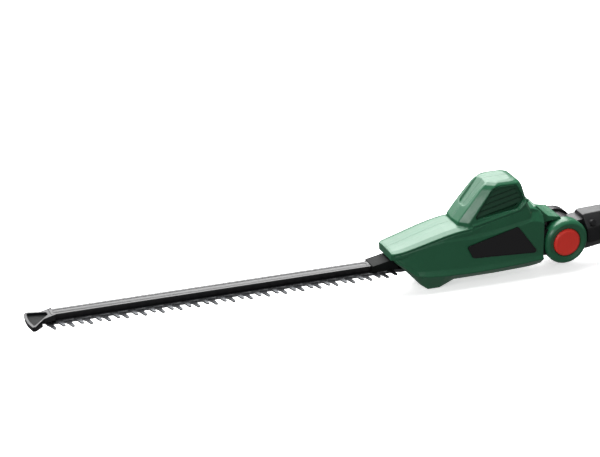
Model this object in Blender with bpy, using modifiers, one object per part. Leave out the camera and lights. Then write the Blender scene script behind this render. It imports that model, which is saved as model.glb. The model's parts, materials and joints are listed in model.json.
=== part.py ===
"""Pole hedge trimmer: a cordless trimming head that tilts on a telescopic pole.

Lengths are in millimetres and angles in degrees. The helpers turn them into Blender's metres and radians.
Three frames hold the parts. head_frame sits on the tilt axis with the blade along -X. pole_frame has the
same origin, and its X axis runs up the pole. battery_frame is level again, on the floor under the handle.
"""

import math

import bmesh
import bpy
from mathutils import Matrix, Vector

MM = 0.001

# Where the tool stands: the head's foot and the battery both rest on z = 0.
PIVOT_X = -361.8
PIVOT_Z = 40.0
POLE_RISE = 5.0

# Trimming head, seen from the tilt axis
BLADE_TIP_X = -663.0
BLADE_PITCH = 22.0
TOOTH_COUNT = 20
TOOTH_TIP_Y = 25.2
SPINE_Y = 11.0
TIP_GUARD_BACK_X = -653.0
TIP_GUARD_TOP_Z = -0.4
TIP_GUARD_UNDER_Z = -13.6
TIP_GUARD_SLOPE = 0.247
BAR_TIP_X = -657.0
FIRST_TOOTH_X = -661.0
BLADE_STROKE = 11.0
BLADE_THICK = 2.0
BAR_TOP_Z = -1.2
BAR_THICK = 7.6
BAR_HALF_WIDTH = 8.0
TAIL_HALF_WIDTH = 13.0
TAIL_START_X = -223.0
YOKE_HALF_WIDTH = 21.5
BAR_SCREW_X = (-600.0, -510.0, -420.0, -330.0, -262.0)
# side outlines and screw places, as x and z
VENT = ((-127.0, 46.5), (-103.5, 82.5), (-90.0, 86.0), (-73.0, 85.0), (-61.5, 64.5), (-70.0, 52.5))
LABEL = ((-137.5, 15.0), (-69.0, 32.5), (-41.5, -5.5), (-129.5, -0.5))
HOUSING_SCREWS = ((-196.0, 6.0), (-160.0, -14.0), (-60.0, -16.0), (-52.0, 24.0))
WALL = 2.5
SPLIT_GAP = 0.15
CLEAR = 0.3

# Drive
MOTOR_X = -84.0
GEAR_X = -113.0
GEAR_TEETH = 36
PINION_TEETH = 9
GEAR_BASE_Z = 1.0
GEAR_TOP_Z = 9.0
ECCENTRIC_R = 11.0

# Tilting joint
EAR_R = 29.0
EAR_BORE_R = 23.2
EAR_FACE_Y = 30.0
EAR_BACK_Y = 13.3
ARM_INNER_Y = 13.0
ARM_OUTER_Y = 21.7
ARM_R = 22.9
KNUCKLE_R = 26.0
KNUCKLE_HALF = 12.5
PIN_R = 5.0
BUTTON_R = 17.8
BUTTON_FACE_Y = 30.6
BUTTON_BACK_Y = 26.0

# Pole, as distances from the tilt axis
BARREL_START = 31.0
BARREL_END = 118.0
INNER_TUBE = (48.0, 1075.0, 13.5, 12.0)
OUTER_TUBE = (430.0, 1135.0, 16.3, 14.8)
COLLAR_SPAN = (380.0, 428.0)
GRIP_SPAN = (560.0, 780.0)
STRAP_SPAN = (850.0, 878.0)

# Rear handle: outlines as distance up the pole and height from its axis
HANDLE_HALF = 17.0
HANDLE_OUTER = ((1085.0, 21.5), (1085.0, -21.5), (1112.0, -30.0), (1150.0, -58.0), (1182.0, -84.0),
                (1226.0, -89.4), (1378.0, -102.6), (1404.0, -88.0), (1412.0, -30.0), (1400.0, 14.0),
                (1360.0, 21.0), (1240.0, 17.0), (1190.0, 21.0), (1140.0, 28.0), (1110.0, 26.0))
HANDLE_RADII = (5.0, 5.0, 14.0, 20.0, 14.0, 4.0, 12.0, 16.0, 26.0, 22.0, 20.0, 30.0, 20.0, 20.0, 14.0)
FINGER_GAP = ((1194.0, -17.0), (1346.0, -17.0), (1368.0, -34.0), (1364.0, -68.0), (1352.0, -76.0),
              (1226.0, -66.0), (1196.0, -56.0))
GAP_RADII = (9.0, 12.0, 12.0, 8.0, 8.0, 14.0, 14.0)
HANDLE_SCREWS = ((1160.0, -40.0), (1300.0, 6.0), (1290.0, -84.5))
TRIGGER_PIVOT = (1203.0, -13.0)
BATTERY_S = 1303.0
BATTERY_HALF = (58.0, 37.0)
BATTERY_TOP_Z = 51.3
SHOE_Z = (51.7, 57.6)


# ---------------------------------------------------------------- scene helpers

def clear_scene():
    for obj in list(bpy.data.objects):
        bpy.data.objects.remove(obj, do_unlink=True)


def collection(name):
    made = bpy.data.collections.new(name)
    bpy.context.scene.collection.children.link(made)
    return made


def look(name, colour, roughness, metallic=0.0):
    made = bpy.data.materials.new(name)
    made.use_nodes = True
    shader = made.node_tree.nodes["Principled BSDF"]
    shader.inputs["Base Color"].default_value = (*colour, 1.0)
    shader.inputs["Roughness"].default_value = roughness
    shader.inputs["Metallic"].default_value = metallic
    made.diffuse_color = (*colour, 1.0)
    return made


def frame(name, parent=None, location=(0.0, 0.0, 0.0), turn_y=0.0):
    made = bpy.data.objects.new(name, None)
    PARTS.objects.link(made)
    made.parent = parent
    made.location = Vector(location) * MM
    made.rotation_euler = (0.0, math.radians(turn_y), 0.0)
    return made


def put(name, mesh, paint, parent, smooth=True):
    """A new part, or with paint None a cutter, which is left out of a render."""
    obj = bpy.data.objects.new(name, mesh)
    obj.parent = parent
    if paint is None:
        CUTTERS.objects.link(obj)
        obj.hide_render = True
        obj.display_type = "WIRE"
        return obj
    PARTS.objects.link(obj)
    obj.data.materials.append(paint)
    if smooth:
        obj.data.shade_smooth()
        obj.data.set_sharp_from_angle(angle=math.radians(35.0))
    return obj


def mesh_from(bm, name):
    bmesh.ops.recalc_face_normals(bm, faces=bm.faces)
    mesh = bpy.data.meshes.new(name)
    bm.to_mesh(mesh)
    bm.free()
    return mesh


def box(name, low, high, paint, parent, bevel=0.0):
    low, high = Vector(low) * MM, Vector(high) * MM
    bm = bmesh.new()
    bmesh.ops.create_cube(bm, size=1.0)
    bmesh.ops.scale(bm, vec=high - low, verts=bm.verts)
    bmesh.ops.translate(bm, vec=(high + low) / 2, verts=bm.verts)
    obj = put(name, mesh_from(bm, name), paint, parent, smooth=False)
    if bevel:
        soften(obj, bevel)
    return obj


def rod(name, radius, start, end, paint, parent, sides=32, end_radius=None):
    """A cylinder, or a cone, between two points."""
    start, end = Vector(start) * MM, Vector(end) * MM
    run = end - start
    turn = run.to_track_quat("Z", "Y").to_matrix().to_4x4()
    bm = bmesh.new()
    bmesh.ops.create_cone(
        bm, cap_ends=True, segments=sides, radius1=radius * MM,
        radius2=(radius if end_radius is None else end_radius) * MM, depth=run.length,
        matrix=Matrix.Translation((start + end) / 2) @ turn)
    return put(name, mesh_from(bm, name), paint, parent)


def turned(name, profile, paint, parent, along="Z", centre=(0.0, 0.0, 0.0), sides=40, ring=False):
    """A profile of (radius, height), top to bottom, spun about an axis. A ring's profile closes on itself."""
    points = [Vector((radius, 0.0, height)) * MM for radius, height in profile]
    edges = [(i, i + 1) for i in range(len(points) - 1)]
    if ring:
        edges.append((len(points) - 1, 0))
    mesh = bpy.data.meshes.new(name)
    mesh.from_pydata(points, edges, [])
    obj = put(name, mesh, paint, parent, smooth=False)
    obj.location = Vector(centre) * MM
    obj.rotation_euler = {"Z": (0, 0, 0), "X": (0, math.pi / 2, 0), "Y": (-math.pi / 2, 0, 0),
                          "-Y": (math.pi / 2, 0, 0), "-Z": (math.pi, 0, 0)}[along]
    screw = obj.modifiers.new("Turn", "SCREW")
    screw.axis = "Z"
    screw.steps = screw.render_steps = sides
    screw.use_merge_vertices = True
    screw.merge_threshold = 0.00001
    screw.use_smooth_shade = True
    return obj


def plate(name, outlines, low, high, paint, parent, normal="Z"):
    """Flat outlines, the first one outside and the rest holes, as a solid from low to high along a normal."""
    curve = bpy.data.curves.new(name, "CURVE")
    curve.dimensions = "2D"
    curve.fill_mode = "BOTH"
    curve.extrude = (high - low) / 2 * MM
    for outline in outlines:
        spline = curve.splines.new("POLY")
        spline.points.add(len(outline) - 1)
        spline.use_cyclic_u = True
        for point, (a, b) in zip(spline.points, outline):
            point.co = (a * MM, b * MM, 0.0, 1.0)
    guide = bpy.data.objects.new(name + "_outline", curve)
    bpy.context.scene.collection.objects.link(guide)
    bpy.context.view_layer.update()
    graph = bpy.context.evaluated_depsgraph_get()
    mesh = bpy.data.meshes.new_from_object(guide.evaluated_get(graph))
    bpy.data.objects.remove(guide, do_unlink=True)
    bm = bmesh.new()
    bm.from_mesh(mesh)
    bmesh.ops.remove_doubles(bm, verts=bm.verts, dist=0.000001)
    middle = (low + high) / 2 * MM
    if normal == "Z":
        place = Matrix.Translation((0.0, 0.0, middle))
    elif normal == "Y":
        place = Matrix(((1, 0, 0, 0), (0, 0, 1, middle), (0, 1, 0, 0), (0, 0, 0, 1)))
    else:
        place = Matrix(((0, 0, 1, middle), (1, 0, 0, 0), (0, 1, 0, 0), (0, 0, 0, 1)))
    bmesh.ops.transform(bm, matrix=place, verts=bm.verts)
    return put(name, mesh_from(bm, name), paint, parent, smooth=False)


def loft(name, sections, paint, parent):
    """A closed skin through rings that all have the same number of points."""
    bm = bmesh.new()
    rings = [[bm.verts.new(Vector(point) * MM) for point in section] for section in sections]
    count = len(rings[0])
    for ring, following in zip(rings, rings[1:]):
        for i in range(count):
            j = (i + 1) % count
            bm.faces.new((ring[i], ring[j], following[j], following[i]))
    bm.faces.new(rings[0])
    bm.faces.new(rings[-1])
    return put(name, mesh_from(bm, name), paint, parent)


def coil(name, radius, wire, low, high, turns, paint, parent):
    """A compression spring about the Y axis."""
    steps = int(turns * 10)
    curve = bpy.data.curves.new(name, "CURVE")
    curve.dimensions = "3D"
    curve.bevel_depth = wire / 2 * MM
    curve.bevel_resolution = 1
    curve.use_fill_caps = True
    spline = curve.splines.new("POLY")
    spline.points.add(steps)
    for i, point in enumerate(spline.points):
        angle = 2 * math.pi * turns * i / steps
        along = low + (high - low) * i / steps
        point.co = (radius * math.cos(angle) * MM, along * MM, radius * math.sin(angle) * MM, 1.0)
    obj = bpy.data.objects.new(name, curve)
    obj.parent = parent
    PARTS.objects.link(obj)
    curve.materials.append(paint)
    return obj


def boolean(obj, other, operation):
    step = obj.modifiers.new(operation.title(), "BOOLEAN")
    step.operation = operation
    step.object = other
    step.solver = "EXACT"


def cut(obj, *cutters):
    for cutter in cutters:
        boolean(obj, cutter, "DIFFERENCE")
    return obj


def fuse(obj, *others):
    for other in others:
        boolean(obj, other, "UNION")
    return obj


def soften(obj, width, segments=2, angle=35.0):
    step = obj.modifiers.new("Bevel", "BEVEL")
    step.width = width * MM
    step.segments = segments
    step.limit_method = "ANGLE"
    step.angle_limit = math.radians(angle)
    return obj


def set_origin(obj, point):
    """Moves a part's origin to a point of its frame, and leaves its shape where it is."""
    shift = Vector(point) * MM
    obj.data.transform(Matrix.Translation(-shift))
    obj.location = shift
    return obj


def rounded(points, radius, steps=3):
    """The outline with each corner turned into an arc. Radius is one number, or one for each corner."""
    radii = radius if isinstance(radius, (list, tuple)) else [radius] * len(points)
    result = []
    for i, corner in enumerate(points):
        here = Vector(corner)
        before = (Vector(points[i - 1]) - here).normalized()
        after = (Vector(points[(i + 1) % len(points)]) - here).normalized()
        half = before.angle(after) / 2
        if radii[i] <= 0.0 or half > math.radians(88.0):
            result.append(tuple(here))
            continue
        centre = here + (before + after).normalized() * (radii[i] / math.sin(half))
        reach = radii[i] / math.tan(half)
        first, last = here + before * reach - centre, here + after * reach - centre
        for k in range(steps + 1):
            spoke = first.lerp(last, k / steps).normalized() * radii[i]
            result.append(tuple(centre + spoke))
    return result


def slot(x_low, x_high, half):
    """A slot with round ends along X, as an outline."""
    ends = []
    for centre, start in ((x_high, -90.0), (x_low, 90.0)):
        for k in range(5):
            angle = math.radians(start + 45.0 * k)
            ends.append((centre + half * math.cos(angle), half * math.sin(angle)))
    return ends


def circle(x, y, radius, sides=24):
    turns = [2 * math.pi * i / sides for i in range(sides)]
    return [(x + radius * math.cos(a), y + radius * math.sin(a)) for a in turns]


def gear_outline(x, teeth, module, phase=0.0):
    """Trapezoid teeth, thinner than their gaps so that two gears run with backlash."""
    pitch = 2 * math.pi / teeth
    tip, root = module * (teeth / 2 + 0.85), module * (teeth / 2 - 1.15)
    points = []
    for i in range(teeth):
        centre = phase + i * pitch
        for share, radius in ((-0.24, root), (-0.10, tip), (0.10, tip), (0.24, root)):
            angle = centre + share * pitch
            points.append((x + radius * math.cos(angle), radius * math.sin(angle)))
    return points


# ---------------------------------------------------------------- cutting parts

def blade_outline(phase, yoke_low, yoke_high):
    """One blade from its yoke to its tip: teeth lean back towards the head and have round ends."""
    tooth = ((6.6, SPINE_Y), (5.8, TOOTH_TIP_Y - 3.0), (4.4, TOOTH_TIP_Y - 0.5), (1.6, TOOTH_TIP_Y),
             (-1.4, TOOTH_TIP_Y - 2.0), (-6.0, SPINE_Y))
    side = [(yoke_high, YOKE_HALF_WIDTH - 4.0), (yoke_high - 4.0, YOKE_HALF_WIDTH),
            (yoke_low + 4.0, YOKE_HALF_WIDTH), (yoke_low - 6.0, TAIL_HALF_WIDTH),
            (TAIL_START_X + 4.0, TAIL_HALF_WIDTH), (TAIL_START_X, SPINE_Y)]
    for i in reversed(range(TOOTH_COUNT)):
        x = FIRST_TOOTH_X + phase + i * BLADE_PITCH
        side += [(x + along, across) for along, across in tooth]
    side += [(BLADE_TIP_X + phase, SPINE_Y - 1.0), (BLADE_TIP_X + phase - 4.0, 4.0)]
    return side + [(x, -y) for x, y in reversed(side)]


def make_blades(head):
    """The upper blade rests at the rear end of its stroke and the lower one at the front end."""
    reach = BLADE_STROKE / 2 + ECCENTRIC_R + CLEAR
    half = reach + 0.2
    for name, top, ahead, behind in (
            ("upper_blade", BAR_TOP_Z - BAR_THICK - 0.2, 0.0, BLADE_STROKE),
            ("lower_blade", BAR_TOP_Z - BAR_THICK - 0.4 - BLADE_THICK, BLADE_STROKE, 0.0)):
        phase = 0.0 if ahead else BLADE_STROKE
        hole_low, hole_high = GEAR_X - reach - ahead, GEAR_X + reach + behind
        yoke = rounded([(hole_low, -half), (hole_high, -half), (hole_high, half), (hole_low, half)], 10.0)
        holes = [slot(x - ahead, x + behind, 2.5) for x in BAR_SCREW_X]
        outline = blade_outline(phase, hole_low - 4.0, hole_high + 4.0)
        plate(name, [outline, yoke] + holes, top - BLADE_THICK, top, STEEL_DARK, head)


def make_guide_bar(head):
    """The fixed bar above the blades, from the tip guard into the nose. Screws come up into it from below."""
    outline = rounded([(BAR_TIP_X, -BAR_HALF_WIDTH), (-150.0, -BAR_HALF_WIDTH),
                       (-150.0, BAR_HALF_WIDTH), (BAR_TIP_X, BAR_HALF_WIDTH)], [1.0, 2.0, 2.0, 1.0])
    under = BAR_TOP_Z - BAR_THICK
    bar = plate("guide_bar", [outline], under, BAR_TOP_Z, BAR_METAL, head)
    for number, x in enumerate(BAR_SCREW_X, 1):
        hole = rod(f"bar_screw_hole_{number}", 2.3, (x, 0.0, under - 1.0), (x, 0.0, under + 5.0), None, head, sides=16)
        cut(bar, hole)
        below = under - 2 * BLADE_THICK - 0.8
        turned(f"bar_screw_{number}", [(0.0, under + 4.4), (2.0, under + 4.0), (2.0, below), (4.6, below - 0.01),
                                       (4.6, below - 2.4), (3.6, below - 2.9), (0.0, below - 3.0)],
               STEEL, head, centre=(x, 0.0, 0.0), sides=12)


def above_slope(name, drop, head):
    """The space over the tip guard's sloping top, or over a plane lower by a drop."""
    line = [(x, TIP_GUARD_TOP_Z - drop + (x - TIP_GUARD_BACK_X) * TIP_GUARD_SLOPE) for x in (-700.0, -640.0)]
    return plate(name, [line + [(-640.0, 30.0), (-700.0, 30.0)]], -30.0, 30.0, None, head, normal="Y")


def make_tip_guard(head):
    """A moulded shoe on the end of the bar: a delta that slopes down to its front, with a raised rim."""
    plan = rounded([(TIP_GUARD_BACK_X, 10.4), (-667.0, 10.4), (-680.0, 21.6), (-683.6, 20.6), (-685.6, 6.0),
                    (-685.6, -6.0), (-683.6, -20.6), (-680.0, -21.6), (-667.0, -10.4), (TIP_GUARD_BACK_X, -10.4)],
                   [0.5, 4.0, 1.2, 1.2, 6.0, 6.0, 1.2, 1.2, 4.0, 0.5], 3)
    guard = plate("tip_guard", [plan], TIP_GUARD_UNDER_Z, 5.0, BLACK, head)
    inner = rounded([(-661.0, 4.0), (-679.2, 17.8), (-681.4, 17.2), (-682.6, 5.0), (-682.6, -5.0), (-681.4, -17.2),
                     (-679.2, -17.8), (-661.0, -4.0)], 1.0, 3)
    recess = plate("tip_guard_recess", [inner], -20.0, 10.0, None, head)
    boolean(recess, above_slope("tip_guard_floor", 2.2, head), "INTERSECT")
    blades = box("tip_guard_mouth", (-669.0, -27.5, -20.0), (-640.0, 27.5, -8.5), None, head)
    bar = box("tip_guard_bar_seat", (BAR_TIP_X - 0.4, -BAR_HALF_WIDTH - CLEAR, -9.1),
              (-640.0, BAR_HALF_WIDTH + CLEAR, 8.0), None, head)
    cut(guard, above_slope("tip_guard_slope", 0.0, head), recess, blades, bar)


def make_root_guard(head):
    """The black saddle over the bar where it runs into the nose. Its top rises to the nose."""
    profile = rounded([(-255.0, -8.6), (-221.5, -8.6), (-221.5, 5.0), (-233.0, 4.4), (-255.0, 0.2)],
                      [1.0, 0.0, 0.0, 6.0, 1.0])
    guard = plate("root_guard", [profile], -12.5, 12.5, BLACK, head, normal="Y")
    seat = box("root_guard_seat", (-260.0, -BAR_HALF_WIDTH - CLEAR, -12.0),
               (-210.0, BAR_HALF_WIDTH + CLEAR, BAR_TOP_Z + CLEAR), None, head)
    cut(guard, seat)


# ---------------------------------------------------------------- head housing

def body_ring(x, bottom, side_top, low_half, half, top_half, crown, steps=3):
    """One cross-section of the main body, with its four long edges rounded."""
    corners = [(low_half, bottom), (half, bottom + (half - low_half) * 1.1), (half - 0.6, side_top - 5.0),
               (top_half, side_top)]
    span = side_top - bottom
    radii = [min(6.0, span * 0.1), min(6.0, span * 0.1), min(4.0, span * 0.1), min(5.0, span * 0.1)]
    outline = rounded([(0.0, bottom)] + corners + [(0.0, side_top + crown)], [0.0] + radii + [0.0], steps)
    mirrored = [(-y, z) for y, z in reversed(outline[1:-1])]
    return [(x, y, z) for y, z in outline + mirrored]


# x, bottom, top of the side, half width of the bottom, of the side and of the top edge, rise of the crown
BODY = ((-232.0, 8.0, 15.5, 20.0, 23.5, 21.5, 1.5), (-227.0, 2.0, 16.8, 21.0, 25.5, 23.5, 2.0),
        (-218.0, -6.0, 19.0, 21.0, 27.3, 25.0, 2.5), (-203.0, -22.0, 23.0, 20.0, 29.5, 26.5, 3.0),
        (-190.5, -35.0, 26.5, 19.0, 30.8, 27.5, 3.5), (-183.0, -40.0, 28.6, 18.0, 31.3, 27.9, 3.5),
        (-168.0, -40.0, 32.5, 18.0, 31.8, 28.2, 3.5), (-158.0, -35.0, 34.5, 19.0, 32.0, 28.4, 3.5),
        (-150.0, -30.5, 36.0, 20.0, 32.0, 28.5, 3.5), (-130.0, -30.0, 38.0, 21.0, 32.0, 28.5, 4.0),
        (-95.0, -30.0, 42.0, 21.0, 32.0, 28.5, 6.0), (-62.0, -29.0, 47.0, 21.0, 32.0, 28.0, 9.0),
        (-48.0, -28.5, 49.0, 21.0, 31.7, 27.0, 6.0), (-38.0, -27.5, 44.0, 20.5, 31.2, 26.0, 3.5),
        (-31.5, -26.5, 38.0, 20.0, 30.4, 25.0, 2.0))

# height, front and rear of the section, half width, corner radius at the front
TOWER = ((26.0, -148.0, -40.0, 27.0, 12.0), (44.0, -145.0, -46.0, 26.6, 12.0), (60.0, -133.0, -54.0, 26.0, 12.0),
         (74.0, -121.0, -58.5, 25.0, 11.5), (83.0, -113.5, -61.5, 24.2, 11.0), (88.5, -107.5, -65.0, 22.0, 10.0),
         (91.0, -101.0, -71.0, 17.0, 8.0))


def tower_ring(height, front, rear, half, corner, inset=0.0):
    front, rear, half = front + inset, rear - inset, half - inset
    corner = max(corner - inset, 2.0)
    outline = rounded([(front, -half), (rear, -half), (rear, half), (front, half)],
                      [corner, corner * 0.8, corner * 0.8, corner], 3)
    return [(x, y, height) for x, y in outline]


def housing_skin(name, paint, head, inset=0.0):
    """The outside of both halves as one body, or with an inset the hollow inside them."""
    body = [list(station) for station in BODY]
    tower = [list(station) for station in TOWER]
    if inset:
        body = body[2:]
        body[0][0] += 1.0
        body[-1][0] -= 1.0
        for station in body:
            station[1] += inset
            station[2] -= inset
            station[3:6] = [width - inset for width in station[3:6]]
        tower[-1][0] -= inset * 0.6
        tower[0][0] -= 6.0
    steps = 1 if inset else 3
    skin = loft(name, [body_ring(*station, steps=steps) for station in body], paint, head)
    top = loft(name + "_tower", [tower_ring(*station, inset=inset) for station in tower], None, head)
    return skin, top


def make_housing(head):
    """Two shells that meet on the middle plane. The mouth lets the blades out, the fork comes in at the rear."""
    for side, name in ((-1.0, "housing_left"), (1.0, "housing_right")):
        shell, tower = housing_skin(name, GREEN, head)
        hollow, tower_hollow = housing_skin(name + "_hollow", None, head, WALL)
        middle = SPLIT_GAP * side
        other = box(name + "_other_half", (-260.0, min(middle, -60.0 * side), -60.0),
                    (20.0, max(middle, -60.0 * side), 120.0), None, head)
        mouth = box(name + "_mouth", (-260.0, -14.5, -13.9), (-200.0, 14.5, 5.4), None, head)
        rear = box(name + "_rear", (-37.5, -24.6, -19.0), (0.0, 24.6, 27.0), None, head)
        vent = plate(name + "_vent", [rounded(VENT, 3.0, 3)], *sorted((20.5 * side, 40.0 * side)), None, head,
                     normal="Y")
        seat = plate(name + "_label_seat", [rounded(LABEL, 4.0, 3)], *sorted((31.3 * side, 40.0 * side)), None, head,
                     normal="Y")
        fuse(shell, tower)
        cut(shell, hollow, tower_hollow, other, mouth, rear, vent, seat)
        if side > 0:
            for number, (x, z) in enumerate(HOUSING_SCREWS, 1):
                hole = rod(f"housing_screw_hole_{number}", 3.6, (x, 20.0, z), (x, 40.0, z), None, head, sides=16)
                cut(shell, hole)


def make_housing_screws(head):
    for number, (x, z) in enumerate(HOUSING_SCREWS, 1):
        turned(f"housing_screw_{number}", [(0.0, 2.4), (3.2, 2.0), (3.2, 0.0), (1.6, -0.01), (1.6, -3.6), (0.0, -4.2)],
               STEEL, head, along="Y", centre=(x, 29.0, z), sides=12)


def make_side_details(head):
    """The gloss plate on each side and the louvred grille in each tower wall."""
    for side, word in ((-1.0, "left"), (1.0, "right")):
        inside = [shrink(point, LABEL, 0.4) for point in LABEL]
        plate(f"side_plate_{word}", [rounded(inside, 4.0, 3)], *sorted((31.6 * side, 32.9 * side)), GLOSS_BLACK, head,
              normal="Y")
        grille = plate(f"vent_grille_{word}", [rounded([shrink(p, VENT, 0.4) for p in VENT], 2.8, 3)],
                       *sorted((21.2 * side, 24.0 * side)), BLACK, head, normal="Y")
        for row in range(4):
            z = 55.5 + 7.6 * row
            low, high = vent_span(z)
            opening = box(f"vent_slot_{word}_{row + 1}", (low + 6.0, min(15.0 * side, 30.0 * side), z - 1.6),
                          (high - 5.0, max(15.0 * side, 30.0 * side), z + 1.6), None, head)
            cut(grille, opening)


def shrink(point, outline, gap):
    """A corner moved towards the middle of its outline by about a gap."""
    middle = Vector((sum(p[0] for p in outline), sum(p[1] for p in outline))) / len(outline)
    away = middle - Vector(point)
    return tuple(Vector(point) + away.normalized() * gap * 1.4)


def vent_span(z):
    """The front and rear of the vent at a height."""
    crossings = []
    for (x0, z0), (x1, z1) in zip(VENT, VENT[1:] + VENT[:1]):
        if (z0 - z) * (z1 - z) < 0:
            crossings.append(x0 + (x1 - x0) * (z - z0) / (z1 - z0))
    return min(crossings), max(crossings)


# ---------------------------------------------------------------- drive

def make_drive(head):
    """Motor upright in the tower, its pinion on a gear whose two eccentrics push the blades in turn."""
    module = (MOTOR_X - GEAR_X) * 2 / (GEAR_TEETH + PINION_TEETH)
    turned("motor_can", [(5.0, 71.0), (17.5, 71.0), (20.0, 68.0), (20.0, 19.6), (5.5, 19.6), (5.5, 22.0), (17.6, 22.0),
                         (17.6, 68.6), (5.0, 68.6)], STEEL, head, centre=(MOTOR_X, 0.0, 0.0), ring=True, sides=24)
    turned("motor_rotor", [(0.0, 84.5), (2.2, 84.0), (2.2, 82.0), (7.0, 82.0), (17.0, 83.0), (17.0, 77.0), (7.0, 76.0),
                           (2.2, 75.9), (2.2, 64.0), (14.5, 63.0), (14.5, 29.0), (2.2, 28.0), (2.2, 0.5),
                           (0.0, 0.0)], COPPER, head, centre=(MOTOR_X, 0.0, 0.0), sides=20)
    pinion = plate("motor_pinion", [gear_outline(0.0, PINION_TEETH, module), circle(0.0, 0.0, 2.5, 20)],
                   GEAR_BASE_Z, GEAR_TOP_Z, STEEL, head)
    pinion.location.x = MOTOR_X * MM
    gear = plate("drive_gear", [gear_outline(0.0, GEAR_TEETH, module)], GEAR_BASE_Z, GEAR_TOP_Z, STEEL, head)
    between = BAR_TOP_Z - BAR_THICK - BLADE_THICK - 0.3
    axle = rod("drive_gear_axle", 4.0, (0.0, 0.0, -19.0), (0.0, 0.0, 14.2), None, head, sides=24)
    upper = rod("drive_gear_upper_eccentric", ECCENTRIC_R, (BLADE_STROKE / 2, 0.0, between),
                (BLADE_STROKE / 2, 0.0, 2.0), None, head, sides=32)
    lower = rod("drive_gear_lower_eccentric", ECCENTRIC_R, (-BLADE_STROKE / 2, 0.0, between - 2.3),
                (-BLADE_STROKE / 2, 0.0, between + 0.01), None, head, sides=32)
    for piece in (gear, axle, upper, lower):
        piece.location.x = GEAR_X * MM
    fuse(gear, upper, lower, axle)
    for name, low, high in (("gear_bearing_upper", 9.8, 14.2), ("gear_bearing_lower", -19.0, -14.7)):
        turned(name, [(4.2, high), (8.6, high), (8.6, low), (4.2, low)], STEEL, head,
               centre=(GEAR_X, 0.0, 0.0), ring=True, sides=20)


def make_gear_case(head):
    lower = box("gear_case_lower", (-196.0, -15.0, -21.0), (-66.0, 15.0, -14.4), ALUMINIUM, head)
    lower_seat = rod("lower_bearing_seat", 8.9, (GEAR_X, 0.0, -19.3), (GEAR_X, 0.0, -10.0), None, head, sides=28)
    cut(lower, lower_seat)
    upper = box("gear_case_upper", (-148.0, -24.0, 9.6), (-63.0, 24.0, 19.2), ALUMINIUM, head)
    upper_seat = rod("upper_bearing_seat", 8.9, (GEAR_X, 0.0, 0.0), (GEAR_X, 0.0, 14.6), None, head, sides=28)
    pinion_hole = rod("pinion_hole", 7.5, (MOTOR_X, 0.0, 0.0), (MOTOR_X, 0.0, 30.0), None, head, sides=24)
    cut(upper, upper_seat, pinion_hole)


# ---------------------------------------------------------------- tilting joint

def make_fork(head):
    """The black fork that carries the gear case, and the ear, button and spring on each of its arms."""
    fork = box("fork_chassis", (-60.0, -24.2, -16.0), (-37.0, 24.2, 23.0), BLACK, head)
    arms = []
    for side in (-1.0, 1.0):
        inner, outer = ARM_INNER_Y * side, ARM_OUTER_Y * side
        arms.append(box(f"fork_arm_{side:.0f}", (-45.0, min(inner, outer), -16.0), (0.0, max(inner, outer), 17.0),
                        None, head))
        arms.append(rod(f"fork_boss_{side:.0f}", ARM_R, (0.0, inner, 0.0), (0.0, outer, 0.0), None, head, sides=48))
    sweep = rod("knuckle_sweep", KNUCKLE_R + 1.0, (0.0, -ARM_INNER_Y, 0.0), (0.0, ARM_INNER_Y, 0.0), None, head,
                sides=48)
    bore = rod("pivot_bore", PIN_R + CLEAR, (0.0, -40.0, 0.0), (0.0, 40.0, 0.0), None, head, sides=32)
    fuse(fork, *arms)
    cut(fork, sweep, bore)
    turned("pivot_pin", [(0.0, 20.6), (PIN_R - 0.6, 20.6), (PIN_R, 20.0), (PIN_R, -20.0), (PIN_R - 0.6, -20.6),
                         (0.0, -20.6)], STEEL, head, along="Y", sides=32)
    for side, word, paint in ((-1.0, "left", GREEN), (1.0, "right", BLACK)):
        outward = "-Y" if side < 0 else "Y"
        ear = turned(f"ear_{word}", [(EAR_BORE_R, EAR_FACE_Y), (EAR_R - 2.6, EAR_FACE_Y), (EAR_R, EAR_FACE_Y - 2.6),
                               (EAR_R, EAR_BACK_Y), (EAR_BORE_R, EAR_BACK_Y)],
               paint, head, along=outward, sides=48, ring=True)
        notch = box(f"ear_notch_{word}", (-50.0, min(0.0, (ARM_OUTER_Y + CLEAR) * side), -16.3),
                    (-10.0, max(0.0, (ARM_OUTER_Y + CLEAR) * side), 17.3), None, head)
        cut(ear, notch)
        turned(f"release_button_{word}",
               [(0.0, BUTTON_FACE_Y), (BUTTON_R - 2.0, BUTTON_FACE_Y), (BUTTON_R, BUTTON_FACE_Y - 2.0),
                (BUTTON_R, BUTTON_BACK_Y), (11.5, BUTTON_BACK_Y), (11.5, BUTTON_FACE_Y - 2.0),
                (3.0, BUTTON_FACE_Y - 2.0), (3.0, BUTTON_BACK_Y - 0.4), (0.0, BUTTON_BACK_Y - 0.4)],
               RED, head, along=outward, sides=36)
        coil(f"button_spring_{word}", 9.0, 1.2, (ARM_OUTER_Y + 0.9) * side, (ARM_OUTER_Y + 2.2) * side, 1.5,
             STEEL, head)


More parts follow.
